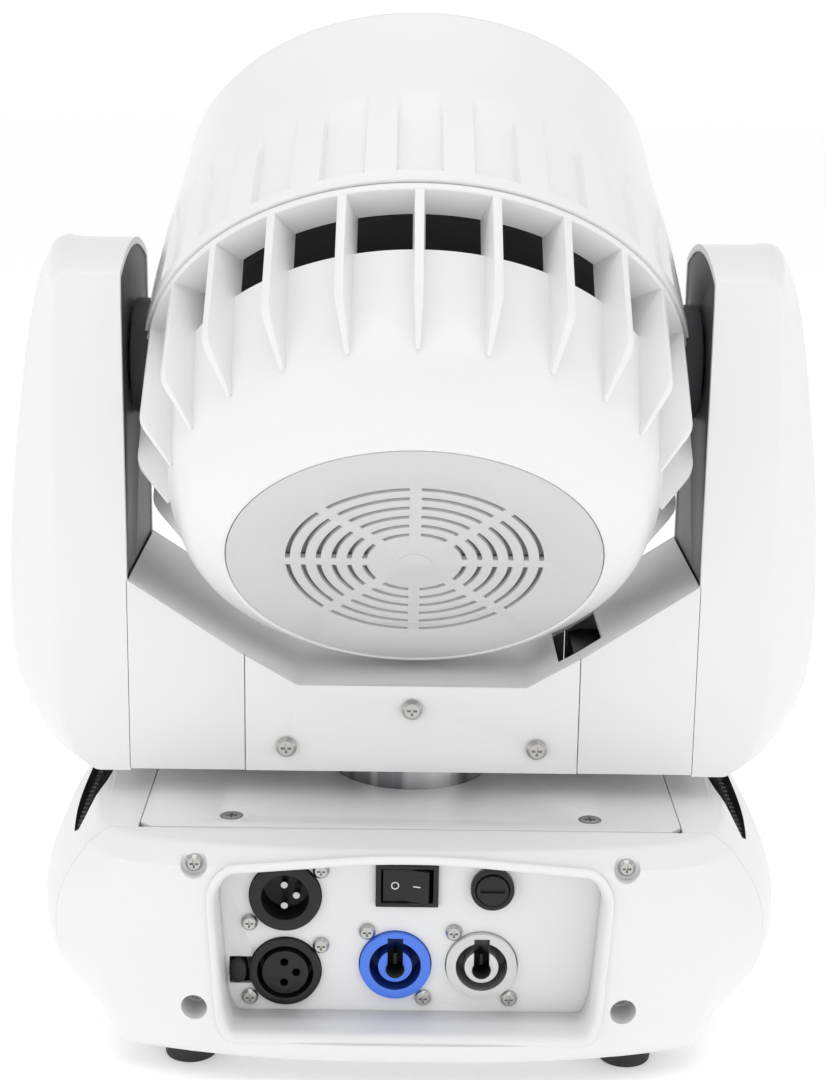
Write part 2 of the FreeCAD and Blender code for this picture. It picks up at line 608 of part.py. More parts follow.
board = block(("2", "80"), ("-supply_rear", "66"), ("circuit_z", "circuit_z + circuit_thick"))
board_parts = [block((x0, x1), (y0, y1), ("circuit_z + circuit_thick", top_z)) for x0, x1, y0, y1, top_z in (
    ("8", "28", "-30", "-10", "17"), ("36", "52", "-34", "-18", "27"), ("60", "74", "-30", "10", "22"),
    ("10", "24", "8", "22", "16"), ("34", "50", "6", "30", "25"), ("8", "70", "50", "60", "24"))]
board_posts = [rod("post_radius", "circuit_z - sheet", (x, y, "sheet")) for x in ("8", "74") for y in ("-35", "44")]
finish("main_board", join(board, *board_parts, *board_posts))

pane = new_body("display_window")
pad(pane, "XZ", [rectangle("-window_wide", "window_wide", "window_low", "window_high")],
    "sheet", "-window_y - sheet")
finish("display_window", pane)

for index, step in enumerate(BUTTON_STEPS, 1):
    at = f"{step} * button_pitch"
    stem = rod("button_radius", "6.8", (at, "button_y", "button_z"), "y")
    flange = rod("button_radius + 1", "1", (at, "button_y", "button_z"), "y")
    finish(f"menu_button_{index}", join(stem, flange))

# ---------------------------------------------------------------- pan tube and drive

finish("pan_tube", turned("pan_tube", [
    ("tube_bore", "crown_z - 5"), ("tube_radius + 8", "crown_z - 5"), ("tube_radius + 8", "crown_z - sheet"),
    ("tube_radius", "crown_z - sheet"), ("tube_radius", "tube_top"), ("tube_bore", "tube_top")]))


def pulley_section(radius, bore, low):
    """A flanged belt pulley's half section."""
    top_of = f"{low} + pulley_tall"
    rim = f"{radius} + pulley_rim"
    return [(bore, low), (rim, low), (rim, f"{low} + 0.8"), (radius, f"{low} + 0.8"),
            (radius, f"{top_of} - 0.8"), (rim, f"{top_of} - 0.8"), (rim, top_of), (bore, top_of)]


finish("pan_fixed_pulley", turned("pan_fixed_pulley", pulley_section(
    "pan_pulley_radius", "tube_radius + fit_gap", "pan_pulley_z")))
finish("pan_bearing", turned("pan_bearing", ring(
    "bearing_radius", "tube_radius + fit_gap", "yoke_low + sheet", "pan_pulley_z - 1")))


def pinion(name, at, axis):
    """A motor's pulley with its shaft, which points along the axis into the motor."""
    stub = [("2.5", "pulley_tall"), ("2.5", "pulley_tall + shaft_long"), ("0", "pulley_tall + shaft_long")]
    body = turned(name, [("0", "0")] + pulley_section("pinion_radius", "2.5", "0")[1:-1] + stub)
    body.Placement = Placement(Vector(0, 0, 0), Rotation(*TURNS[axis]))
    for field, text in zip("xyz", at):
        bind(body, "Placement.Base." + field, text)
    return finish(name, body)


def belt_shape(big, small, span):
    """A flat belt about two pulleys, in its own plane, with the big pulley at the origin."""
    lean = math.acos((big - small) / span)

    def loop(extra):
        def spot(centre, radius, angle):
            return Vector(centre + (radius + extra) * math.cos(angle), (radius + extra) * math.sin(angle), 0)
        big_arc = Part.Arc(spot(0, big, lean), spot(0, big, math.pi), spot(0, big, -lean))
        small_arc = Part.Arc(spot(span, small, -lean), spot(span, small, 0), spot(span, small, lean))
        sides = [Part.LineSegment(spot(0, big, -lean), spot(span, small, -lean)),
                 Part.LineSegment(spot(span, small, lean), spot(0, big, lean))]
        edges = [big_arc.toShape(), sides[0].toShape(), small_arc.toShape(), sides[1].toShape()]
        return Part.Wire(edges)

    clear = number("gap")
    face = Part.Face(loop(clear + number("belt_thick"))).cut(Part.Face(loop(clear)))
    return face.extrude(Vector(0, 0, number("belt_tall")))


def belt(name, big, span, at, turning):
    strap = fresh("Part::Feature", name)
    strap.Shape = belt_shape(number(big), number("pinion_radius"), number(span))
    strap.Placement = Placement(Vector(*(number(text) for text in at)), turning)
    return finish(name, strap)


belt("pan_belt", "pan_pulley_radius", "pan_motor_x", ("0", "0", "pan_pulley_z + 1"), Rotation())
pinion("pan_motor_pulley", ("pan_motor_x", "0", "pan_pulley_z"), "z")


def motor(at_low, axis):
    """A square stepping motor with bevelled corners, and a shaft hole in its low end."""
    body = new_body("motor")
    side = "motor_side / 2"
    bevel = "motor_side / 2 - 4"
    outline = [(side, f"-({bevel})"), (side, bevel), (bevel, side), (f"-({bevel})", side),
               (f"-({side})", bevel), (f"-({side})", f"-({bevel})"), (f"-({bevel})", f"-({side})"),
               (bevel, f"-({side})")]
    pad(body, "XY", [outline], "motor_long")
    pocket(body, "XY", [("circle", "0", "0", "3")], "shaft_long + 1", "-1", reverse=True)
    body.Placement = Placement(Vector(0, 0, 0), Rotation(*TURNS[axis]))
    for field, text in zip("xyz", at_low):
        bind(body, "Placement.Base." + field, text)
    return body


finish("pan_motor", motor(("pan_motor_x", "0", "pan_pulley_z + pulley_tall + motor_gap"), "z"))

# ---------------------------------------------------------------- yoke

tray = new_body("yoke_crossbar")
pad(tray, "XY", [rectangle("-arm_in + 0.6", "arm_in - 0.6", "-arm_deep + wall + gap", "arm_deep - wall - gap"),
                 ("circle", "0", "0", "tube_radius + 1.5")], "sheet", "yoke_low")
pad(tray, "XY", [("circle", "0", "0", "bearing_radius + housing_wall"), ("circle", "0", "0", "bearing_radius")],
    "pan_pulley_z - 1 - yoke_low - sheet", "yoke_low + sheet")
finish("yoke_crossbar", tray)

floor_line = [("arm_in - gap", "arm_root_z"), ("seam_x", "seam_z"), ("floor_flat", "floor_z")]
floor_top = floor_line + [(f"-({x})", z) for x, z in reversed(floor_line)]
floor_under = [(x, f"{z} - wall") for x, z in reversed(floor_top)]
tray_cover = new_body("yoke_floor")
pad(tray_cover, "XZ", [floor_top + floor_under], "2 * (arm_deep - wall - gap)", centred=True)
pocket(tray_cover, "XY", [rectangle("cable_slot_in", "cable_slot_out", "-cable_slot_rear", "cable_slot_front")],
       "100", "180")
finish("yoke_floor", tray_cover)

skirt = [("seam_x - gap", "yoke_low - 0.5"), ("seam_x - gap", "seam_z"), ("floor_flat", "floor_z")]
skirt_outline = skirt + [(f"-({x})", z) for x, z in reversed(skirt)]
SKIRT_SCREWS = (("-yoke_screw_x", "yoke_screw_z"), ("yoke_screw_x", "yoke_screw_z"), ("0", "yoke_screw_high"))
centre = new_body("yoke_centre_cover")
pad(centre, "XZ", [skirt_outline], "wall", "arm_deep - wall")
pocket(centre, "XZ", [("circle", x, z, "shank_radius + gap") for x, z in SKIRT_SCREWS], "20", "arm_deep + 5")
finish("yoke_centre_covers", group(centre, mirrored(centre, Vector(0, 1, 0))))
rear_yoke_screws = group(*[pan_screw(x, "-arm_deep", z, "yoke_screw_head", "yoke_screw_tall", "shank_radius")
                           for x, z in SKIRT_SCREWS])
finish("yoke_screws", group(rear_yoke_screws, mirrored(rear_yoke_screws, Vector(0, 1, 0))))

# The arm's outer form by height: how far its outer side bulges at mid depth, and where
# its flat rear and front faces end.
ARM_LEVELS = (("81.5", "118", "108"), ("88", "131", "117"), ("110", "143", "122.5"),
              ("134", "144", "123"), ("171", "142.2", "123"), ("207", "138", "122.5"),
              ("235", "134", "122"), ("254", "128.7", "121.5"), ("264", "121.5", "119"))


def arm_form(inset, inner_x):
    """The arm's outer form, or a form inside it, as a loft of plan sections."""
    loft = fresh("Part::Loft", "arm")
    sections = []
    for index, (height, bulge, face) in enumerate(ARM_LEVELS):
        deep = f"arm_deep - {inset}"
        outer = f"{bulge} - {inset}"
        near = f"{face} - {inset}"
        middle = f"({outer}) * 0.7 + ({near}) * 0.3"
        half = [(near, deep), (middle, f"({deep}) * 0.55"), (outer, f"({deep}) * 0.12")]
        outline = [(inner_x, deep)] + half + [(x, f"-({y})") for x, y in reversed(half)]
        outline.append((inner_x, f"-({deep})"))
        section = fresh("Sketcher::SketchObject", "level")
        draw(section, [outline])
        ends = {0: f"{height} + {inset}", len(ARM_LEVELS) - 1: f"{height} - {inset}"}
        bind(section, "Placement.Base.z", ends.get(index, height))
        sections.append(section)
    loft.Sections = sections
    loft.Solid = True
    loft.Ruled = True
    return loft


def under_arch(inset):
    """The space under the arm's shallow arched top, whose ridge runs along X."""
    arch = rod(f"arm_crest - ({inset})", "300", ("-150", "0", "arm_top - arm_crest"), "x")
    return join(arch, block(("-150", "150"), ("-60", "60"), ("60", "arm_top - arm_crest")))


cheek = [("seam_x", "yoke_low - 0.5"), ("arm_in + 1", "yoke_low - 0.5"), ("arm_in + 1", "arm_root_z + 0.5"),
         ("arm_in", "arm_root_z"), ("seam_x", "seam_z")]
cheeks = []
for lift in ("arm_deep - wall", "-arm_deep"):
    side = new_body("cheek")
    pad(side, "XZ", [cheek], "wall", lift)
    cheeks.append(side)
arm_skin = cut(common(arm_form("0", "arm_in"), under_arch("0")),
               common(arm_form("wall", "arm_in - 1"), under_arch("wall")))
arm_cover = join(arm_skin, *cheeks)
finish("arm_cover_right", arm_cover)
finish("arm_cover_left", mirrored(arm_cover, Vector(1, 0, 0)))

plate_blank = block(("plate_x", "plate_x + sheet"), ("-arm_deep + wall + gap", "arm_deep - wall - gap"),
                    ("yoke_low + 1.6", "arm_top"))
arm_plate = cut(common(plate_blank, under_arch("wall + gap")),
                rod("race_radius + fit_gap", "20", ("plate_x - 5", "0", "pivot_z"), "x"))
finish("arm_plate_right", arm_plate)
finish("arm_plate_left", mirrored(arm_plate, Vector(1, 0, 0)))

race = cut(rod("race_radius", "race_long", ("plate_x", "0", "pivot_z"), "x"),
           rod("axle_radius + fit_gap", "20", ("plate_x - 5", "0", "pivot_z"), "x"))
finish("tilt_bearings", group(race, mirrored(race, Vector(1, 0, 0))))

# ---------------------------------------------------------------- tilt drive

hub = join(rod("hub_radius", "hub_out - hub_in", ("hub_in", "0", "0"), "x"),
           rod("axle_radius", "axle_end - hub_out", ("hub_out", "0", "0"), "x"))
hub = cut(hub, rod("hub_bore", "60", ("hub_in - 5", "0", "0"), "x"))
finish("tilt_hubs", on_head(group(hub, mirrored(hub, Vector(1, 0, 0)))))

wheel = turned("tilt_pulley", pulley_section("tilt_pulley_radius", "axle_radius + fit_gap", "0"))
wheel.Placement = Placement(Vector(0, 0, 0), Rotation(Vector(0, 1, 0), -90))
bind(wheel, "Placement.Base.x", "-tilt_pulley_x")
bind(wheel, "Placement.Base.z", "pivot_z")
finish("tilt_pulley", wheel)

belt("tilt_belt", "tilt_pulley_radius", "pivot_z - tilt_motor_z",
     ("-tilt_pulley_x - 7", "0", "pivot_z"), Rotation(Vector(0, 1, 0), 90))
pinion("tilt_motor_pulley", ("-tilt_pulley_x", "0", "tilt_motor_z"), "-x")
finish("tilt_motor", motor(("-tilt_pulley_x - pulley_tall - motor_gap", "0", "tilt_motor_z"), "-x"))

# ---------------------------------------------------------------- head shells

rear = new_body("head_rear_shell")
turn(rear, [
    ("rear_flange", "seam_a"), ("rear_flange", "flange_a"), ("barrel_radius", "flange_a"),
    ("barrel_end_radius", "barrel_end"), ("dome_radius", "dome_a"), ("tail_radius", "tail_a"),
    ("grille_radius + gap", "tail_a"), ("grille_radius + gap", "tail_a + grille_thick"),
    ("grille_radius - 4", "tail_a + grille_thick"), ("grille_radius - 4", "tail_a + grille_thick + wall"),
    ("dome_radius - wall - 1", "dome_a + wall"), ("barrel_end_radius - wall", "barrel_end + 2"),
    ("barrel_radius - wall", "seam_a")])
rib = pad(rear, "XZ", [[("barrel_radius - 1", "flange_a + 1"), ("rear_flange", "flange_a + 1"),
                        ("rear_flange", "rib_corner_a"), ("barrel_end_radius - 1", "barrel_end"),
                        ("barrel_end_radius - 2", "barrel_end")]], "rib_thick", centred=True)
repeat_round(rear, rib, "rib_count")
opening_half = "barrel_radius * 0.13 - rib_thick / 2 - 0.5"
vent = pocket(rear, "YZ", [rectangle(f"-({opening_half})", opening_half, "window_end_a", "flange_a")],
              "30", "barrel_radius + 12")
repeat_round(rear, vent, "rib_count")
pocket(rear, "YZ", [("circle", "0", "0", "hub_radius + 0.5")], "60", lift="100")
pocket(rear, "YZ", [("circle", "0", "0", "hub_radius + 0.5")], "60", reverse=True, lift="-100")
on_head(rear)
finish("head_rear_shell", rear)

bell = new_body("head_front_bell")
turn(bell, [
    ("bell_radius", "seam_a + gap"), ("bell_radius", "flute_back_a"), ("bell_radius - 1.5", "20"),
    ("bell_front_radius + 2", "62"), ("bell_front_radius", "bell_front_a - 1"),
    ("bell_front_radius - 1", "bell_front_a"), ("bell_front_radius - bell_wall", "bell_front_a"),
    ("bell_front_radius - bell_wall", "62"), ("bell_radius - bell_wall - 4", "20"),
    ("bell_radius - bell_wall - 3.5", "seam_a + gap")])
flute = pocket(bell, "XZ", [[("bell_radius + 2", "flute_back_a"), ("bell_radius - flute_depth", "flute_back_a"),
                             ("bell_front_radius + 5.2", "flute_front_a"), ("bell_radius + 2", "flute_front_a")]],
               "flute_wide", centred=True)
repeat_round(bell, flute, "rib_count")
pocket(bell, "YZ", [("circle", "0", "0", "hub_radius + 0.5")], "60", lift="100")
pocket(bell, "YZ", [("circle", "0", "0", "hub_radius + 0.5")], "60", reverse=True, lift="-100")
on_head(bell)
finish("head_front_bell", bell)

disc = new_body("rear_grille")
pad(disc, "XY", [("circle", "0", "0", "grille_radius")], "grille_thick", "tail_a")
SLOT_RINGS = range(6)
for step in SLOT_RINGS:
    middle = f"slot_ring + {step} * slot_pitch"
    pocket(disc, "XY", [("circle", "0", "0", f"{middle} + slot_width / 2"),
                        ("circle", "0", "0", f"{middle} - slot_width / 2")],
           "grille_thick + 2", "tail_a - 1", reverse=True)
spoke_end = "slot_ring + 5.6 * slot_pitch"
spoke = pad(disc, "XY", [rectangle("0", spoke_end, "-spoke_width / 2", "spoke_width / 2")],
            "grille_thick", "tail_a")
repeat_round(disc, spoke, "8")
pad(disc, "XY", [("circle", "0", "0", "cap_radius")], "0.4", "tail_a - 0.4")
on_head(disc)
finish("rear_grille", disc)

# ---------------------------------------------------------------- inside the head

chassis = new_body("head_chassis")
turn(chassis, ring("chassis_radius", "58", "-4", "sink_a - 0.2"))
for lift, reverse in (("hub_in - 10", False), ("-hub_in + 10", True)):
    feature = pad(chassis, "YZ", [rectangle("-14", "14", "-4", "sink_a - 0.2")], "9.8", lift)
    feature.Reversed = reverse
on_head(chassis)
finish("head_chassis", chassis)

sink = new_body("heat_sink")
pad(sink, "XY", [("circle", "0", "0", "sink_base")], "board_a - sink_a", "sink_a")
pad(sink, "XY", [rectangle("-sink_radius * 0.78", "sink_radius * 0.78", "-1", "1")],
    "sink_a - fin_a", "fin_a")
first_fin = pad(sink, "XY", [rectangle("-34", "34", "-41", "-39")], "sink_a - fin_a", "fin_a")
repeat_along(sink, first_fin, "Y_Axis", "80", 11)
on_head(sink)
finish("heat_sink", sink)

LED_SPOTS = [(0.0, 0.0)]
for turn_step in range(6):
    angle = math.radians(60 * turn_step)
    LED_SPOTS.append((math.cos(angle), math.sin(angle)))
    LED_SPOTS.append((2 * math.cos(angle), 2 * math.sin(angle)))
    half_turn = angle + math.radians(30)
    LED_SPOTS.append((math.sqrt(3) * math.cos(half_turn), math.sqrt(3) * math.sin(half_turn)))


def led_place(spot, height):
    return (f"{spot[0]:.5f} * led_pitch", f"{spot[1]:.5f} * led_pitch", height)


board_disc = rod("sink_base - 2", "1.6", ("0", "0", "board_a"))
chips = [rod("3.5", "2", led_place(spot, "board_a + 1.6")) for spot in LED_SPOTS]
finish("led_board", on_head(join(board_disc, *chips)))

lens_plate = rod("lens_plate_radius", "2.5", ("0", "0", "lens_a"))
lenses = []
for spot in LED_SPOTS:
    lenses.append(cone("5", "lens_radius", "16", led_place(spot, "lens_a - 14")))
    lenses.append(cone("lens_radius", "lens_radius - 3", "3", led_place(spot, "lens_a + 2")))
sleeve = rod("zoom_screw_radius + 3", "22.5", ("zoom_screw_x", "zoom_screw_y", "lens_a - 22.5"))
sleeve_bore = rod("zoom_screw_radius + gap", "22.5", ("zoom_screw_x", "zoom_screw_y", "lens_a - 22.6"))
finish("lens_array", on_head(cut(join(lens_plate, sleeve, *lenses), sleeve_bore)))
zoom_can = rod("6", "6", ("zoom_screw_x", "zoom_screw_y", "board_a + 1.7"))
finish("zoom_motor", on_head(group(zoom_can)))
lead_screw = rod("zoom_screw_radius", "22", ("zoom_screw_x", "zoom_screw_y", "board_a + 8.1"))
finish("zoom_screw", on_head(group(lead_screw)))

frame = new_body("fan_frame")
half_fan = "fan_side / 2"
bevel_fan = "fan_side / 2 - 5"
fan_outline = [(half_fan, f"-({bevel_fan})"), (half_fan, bevel_fan), (bevel_fan, half_fan),
               (f"-({bevel_fan})", half_fan), (f"-({half_fan})", bevel_fan),
               (f"-({half_fan})", f"-({bevel_fan})"), (f"-({bevel_fan})", f"-({half_fan})"),
               (bevel_fan, f"-({half_fan})")]
pad(frame, "XY", [fan_outline, ("circle", "0", "0", "fan_bore")], "fan_thick", "fan_a")
pad(frame, "XY", [("circle", "0", "0", "rotor_hub")], "3", "fan_a + fan_thick - 3")
strut = pad(frame, "XY", [rectangle("rotor_hub - 2", "fan_bore + 1", "-2", "2")], "3", "fan_a + fan_thick - 3")
repeat_round(frame, strut, "4")
on_head(frame)
finish("fan_frame", frame)

rotor = new_body("fan_rotor")
turn(rotor, [("0", "fan_a + 2"), ("rotor_hub", "fan_a + 2"), ("rotor_hub", "fan_a + fan_thick - 4"),
             ("0", "fan_a + fan_thick - 4")])
blade = pad(rotor, "YZ", [[("-9", "fan_a + 3"), ("-7", "fan_a + 3"), ("9", "fan_a + 19"), ("7", "fan_a + 19")]],
            "blade_radius - rotor_hub + 1", "rotor_hub - 1.5")
repeat_round(rotor, blade, "9")
on_head(rotor)
finish("fan_rotor", rotor)

# ---------------------------------------------------------------- check and write

doc.recompute()
faults = [thing.Name for thing in doc.Objects if {"Invalid", "Error"} & set(thing.State)]
for name, thing in NODES.items():
    shape = thing.Shape
    if shape.isNull() or not shape.isValid() or not shape.Solids:
        faults.append(name)
if faults:
    raise RuntimeError(f"these objects are not sound: {faults}")
for name, thing in NODES.items():
    thing.Shape.exportStep(f"parts/{name}.step")
print(len(NODES), "nodes written")
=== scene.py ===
import math

import bmesh
import bpy
from mathutils import Matrix, Vector
from mathutils.bvhtree import BVHTree


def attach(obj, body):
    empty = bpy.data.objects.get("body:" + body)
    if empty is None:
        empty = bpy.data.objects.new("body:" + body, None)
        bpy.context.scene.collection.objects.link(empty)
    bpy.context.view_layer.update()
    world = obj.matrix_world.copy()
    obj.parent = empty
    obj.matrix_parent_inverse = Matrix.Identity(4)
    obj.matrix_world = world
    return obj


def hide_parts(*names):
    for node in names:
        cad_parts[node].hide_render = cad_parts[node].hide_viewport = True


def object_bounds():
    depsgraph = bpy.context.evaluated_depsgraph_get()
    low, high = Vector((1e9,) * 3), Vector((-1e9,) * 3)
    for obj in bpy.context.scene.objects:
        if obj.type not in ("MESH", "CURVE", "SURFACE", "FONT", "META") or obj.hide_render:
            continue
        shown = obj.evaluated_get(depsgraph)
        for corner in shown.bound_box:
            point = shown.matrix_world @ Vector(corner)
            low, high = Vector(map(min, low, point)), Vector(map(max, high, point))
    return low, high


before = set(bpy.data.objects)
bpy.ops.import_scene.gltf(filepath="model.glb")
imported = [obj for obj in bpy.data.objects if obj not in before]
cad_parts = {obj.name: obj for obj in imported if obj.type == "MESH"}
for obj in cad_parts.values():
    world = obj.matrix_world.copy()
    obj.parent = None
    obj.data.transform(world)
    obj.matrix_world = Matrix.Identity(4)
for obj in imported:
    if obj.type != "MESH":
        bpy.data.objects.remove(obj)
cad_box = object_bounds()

# ---------------------------------------------------------------- base: moulded covers
# Four injection-moulded covers close the base: two ends and two sides, in white ABS with
# a fine spark-eroded grain. Each is a 2.4 mm shell, screwed to bosses at its corners.

MM = 0.001


def surface_grain():
    """Shader group: moulding grain, faint tone drift and gloss drift over a surface."""
    group = bpy.data.node_groups.new("surface_grain", "ShaderNodeTree")
    face = group.interface
    for name, kind, value in (("Colour", "NodeSocketColor", (0.8, 0.8, 0.8, 1)),
                              ("Drift", "NodeSocketFloat", 0.03), ("Gloss", "NodeSocketFloat", 0.4),
                              ("Gloss drift", "NodeSocketFloat", 0.06),
                              ("Grain per metre", "NodeSocketFloat", 2500.0)):
        face.new_socket(name, in_out="INPUT", socket_type=kind).default_value = value
    for name, kind in (("Colour", "NodeSocketColor"), ("Roughness", "NodeSocketFloat"),
                       ("Height", "NodeSocketFloat")):
        face.new_socket(name, in_out="OUTPUT", socket_type=kind)
    nodes, links = group.nodes, group.links
    given, out = nodes.new("NodeGroupInput"), nodes.new("NodeGroupOutput")
    where = nodes.new("ShaderNodeTexCoord")

    def noise(scale, detail):
        cloud = nodes.new("ShaderNodeTexNoise")
        cloud.inputs["Scale"].default_value = scale
        cloud.inputs["Detail"].default_value = detail
        links.new(where.outputs["Object"], cloud.inputs["Vector"])
        return cloud

    def sum_of(*terms, mode="MULTIPLY_ADD"):
        adder = nodes.new("ShaderNodeMath")
        adder.operation = mode
        for socket, term in zip(adder.inputs, terms):
            if isinstance(term, (int, float)):
                socket.default_value = term
            else:
                links.new(term, socket)
        return adder.outputs[0]

    broad, fine, grain = noise(14, 3), noise(120, 4), noise(2500, 2)
    links.new(given.outputs["Grain per metre"], grain.inputs["Scale"])
    shade = sum_of(sum_of(broad.outputs["Fac"], -0.5, mode="ADD"), given.outputs["Drift"], 1.0)
    tinted = nodes.new("ShaderNodeVectorMath")
    tinted.operation = "SCALE"
    links.new(given.outputs["Colour"], tinted.inputs[0])
    links.new(shade, tinted.inputs["Scale"])
    rough = sum_of(sum_of(fine.outputs["Fac"], -0.5, mode="ADD"), given.outputs["Gloss drift"],
                   given.outputs["Gloss"])
    links.new(tinted.outputs[0], out.inputs["Colour"])
    links.new(rough, out.inputs["Roughness"])
    links.new(grain.outputs["Fac"], out.inputs["Height"])
    return group


GRAIN = surface_grain()


def finish_of(name, colour, gloss, grain=2500, depth=0.00002, drift=0.03, gloss_drift=0.06, **sockets):
    """A material: one Principled shader fed by the grain group; other sockets are constants."""
    finish = bpy.data.materials.new(name)
    finish.use_nodes = True
    nodes, links = finish.node_tree.nodes, finish.node_tree.links
    shader = nodes["Principled BSDF"]
    skin = nodes.new("ShaderNodeGroup")
    skin.node_tree = GRAIN
    skin.inputs["Colour"].default_value = (*colour, 1)
    skin.inputs["Gloss"].default_value = gloss
    skin.inputs["Drift"].default_value = drift
    skin.inputs["Gloss drift"].default_value = gloss_drift
    skin.inputs["Grain per metre"].default_value = grain
    bump = nodes.new("ShaderNodeBump")
    bump.inputs["Strength"].default_value = 0.6
    bump.inputs["Distance"].default_value = depth
    links.new(skin.outputs["Height"], bump.inputs["Height"])
    links.new(skin.outputs["Colour"], shader.inputs["Base Color"])
    links.new(skin.outputs["Roughness"], shader.inputs["Roughness"])
    links.new(bump.outputs["Normal"], shader.inputs["Normal"])
    for socket, value in sockets.items():
        shader.inputs[socket.replace("_", " ")].default_value = value
    return finish


white_abs = finish_of("white_abs", (0.83, 0.83, 0.835), 0.36, Specular_IOR_Level=0.45)


def piece_from(name, points, faces, *finishes):
    """A mesh object from plain lists, in metres."""
    mesh = bpy.data.meshes.new(name)
    mesh.from_pydata([tuple(point) for point in points], [], faces)
    piece = bpy.data.objects.new(name, mesh)
    bpy.context.scene.collection.objects.link(piece)
    for finish in finishes:
        mesh.materials.append(finish)
    return piece


def clean(piece, crease=32, merge=0.00001, outward=True):
    """Merges doubles, turns faces outwards and marks smooth shading up to an angle."""
    form = bmesh.new()
    form.from_mesh(piece.data)
    bmesh.ops.remove_doubles(form, verts=form.verts, dist=merge)
    bmesh.ops.dissolve_degenerate(form, edges=form.edges, dist=merge / 2)
    if outward:
        bmesh.ops.recalc_face_normals(form, faces=form.faces)
    form.to_mesh(piece.data)
    form.free()
    piece.data.shade_smooth()
    piece.data.set_sharp_from_angle(angle=math.radians(crease))
    return piece


def settle(piece):
    """Applies a piece's modifiers."""
    bpy.context.view_layer.update()
    seen = piece.evaluated_get(bpy.context.evaluated_depsgraph_get())
    mesh = bpy.data.meshes.new_from_object(seen)
    piece.modifiers.clear()
    piece.data = mesh
    return piece


def carve(piece, tool, mode="DIFFERENCE"):
    """A boolean cut, join or overlap with another closed piece."""
    knife = piece.modifiers.new("cut", "BOOLEAN")
    knife.operation, knife.object, knife.solver = mode, tool, "EXACT"
    knife.material_mode = "TRANSFER"
    settle(piece)
    bpy.data.objects.remove(tool)
    return piece


def soften(piece, width, crease=32, segments=2, angle=34):
    """Rounds a piece's sharp edges by a small radius."""
    clean(piece, crease)
    round_over = piece.modifiers.new("edges", "BEVEL")
    round_over.width, round_over.segments = width, segments
    round_over.limit_method, round_over.angle_limit = "ANGLE", math.radians(angle)
    round_over.use_clamp_overlap = True
    round_over.harden_normals = False
    settle(piece)
    return clean(piece, crease, outward=False)


def fit_piece(piece, body, slot, *nodes):
    """Puts a finished piece on its body, in place of its CAD nodes."""
    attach(piece, body)
    if nodes:
        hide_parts(*nodes)
    return piece


def curve_through(rows, height):
    """The rows' values at a height, by a smooth monotone curve; rows start with z."""
    rows = sorted(rows)
    if height <= rows[0][0]:
        return list(rows[0][1:])
    if height >= rows[-1][0]:
        return list(rows[-1][1:])
    index = max(i for i, row in enumerate(rows) if row[0] <= height)
    low, high = rows[index], rows[index + 1]
    span = high[0] - low[0]
    t = (height - low[0]) / span
    values = []
    for column in range(1, len(low)):
        step = (high[column] - low[column]) / span

        def lean(i):
            if i <= 0 or i >= len(rows) - 1:
                near = rows[min(max(i, 0), len(rows) - 2)]
                far = rows[min(max(i, 0), len(rows) - 2) + 1]
                return (far[column] - near[column]) / (far[0] - near[0])
            before = (rows[i][column] - rows[i - 1][column]) / (rows[i][0] - rows[i - 1][0])
            after = (rows[i + 1][column] - rows[i][column]) / (rows[i + 1][0] - rows[i][0])
            if before * after <= 0:
                return 0.0
            return 2 * before * after / (before + after)
        start, end = lean(index), lean(index + 1)
        t2, t3 = t * t, t * t * t
        values.append((2 * t3 - 3 * t2 + 1) * low[column] + (t3 - 2 * t2 + t) * span * start
                      + (3 * t2 - 2 * t3) * high[column] + (t3 - t2) * span * end)
    return values


def round_corners(points, radii, steps=4):
    """A polyline whose corners are arcs; ends stay. The point count depends only on steps."""
    path = [Vector(points[0])]
    for before, corner, after, radius in zip(points, points[1:], points[2:], radii):
        before, corner, after = Vector(before), Vector(corner), Vector(after)
        back, ahead = (before - corner), (after - corner)
        reach = min(radius, back.length * 0.45, ahead.length * 0.45)
        first, last = corner + back.normalized() * reach, corner + ahead.normalized() * reach
        for step in range(steps + 1):
            t = step / steps
            path.append((first * (1 - t) + corner * t) * (1 - t) + (corner * (1 - t) + last * t) * t)
    path.append(Vector(points[-1]))
    return path


# height, half width, half depth at the middle, how far the ends bow back, corner half width
BASE_LEVELS = ((0, 107, 90, 13.5, 98), (3, 110, 91.6, 12.6, 98), (10, 116, 93.2, 11, 97.5),
               (22, 125.5, 92.6, 9, 98.5), (33, 129.3, 92, 8.4, 99.5), (41, 129.6, 91.4, 8.4, 99.5),
               (50, 127.8, 90.7, 8.4, 99), (58, 124, 89.8, 8.6, 98), (66, 118.2, 88.4, 9, 96))
CROWN_Z, CROWN = 73, (73, 111, 83, 9.5, 91)
BASE_WALL, SEAM_Y, SEAM_GAP = 2.4, 66, 0.12
ROLL_Z = 66.6


def face_depth(x, deep, bow, corner):
    """How far an end face stands from the middle plane: it bows back towards its corners."""
    return deep - bow * (abs(x) / corner) ** 2.6


def base_outline(wide, deep, bow, corner):
    """One level of the base's form, anticlockwise from the middle of the +X flank."""
    flank = [Vector((wide - 8 * (y / 65) ** 3, y)) for y in (0, 14, 26, 36, 44, 51, 57)]
    inner = (corner - 16, face_depth(corner - 16, deep, bow, corner))
    turn = round_corners([flank[-1], (wide - 8, 65), (corner, deep - bow), inner], (9, 13), 6)
    face = [Vector((x, face_depth(x, deep, bow, corner))) for x in (72, 60, 48, 36, 24, 12)]
    quarter = flank[:-1] + turn + face
    left = [Vector((-x, y)) for x, y in reversed(quarter)]
    lower = [Vector((-x, -y)) for x, y in quarter]
    right = [Vector((x, -y)) for x, y in reversed(quarter)]
    return quarter + [Vector((0, deep))] + left + lower[1:] + [Vector((0, -deep))] + right[:-1]


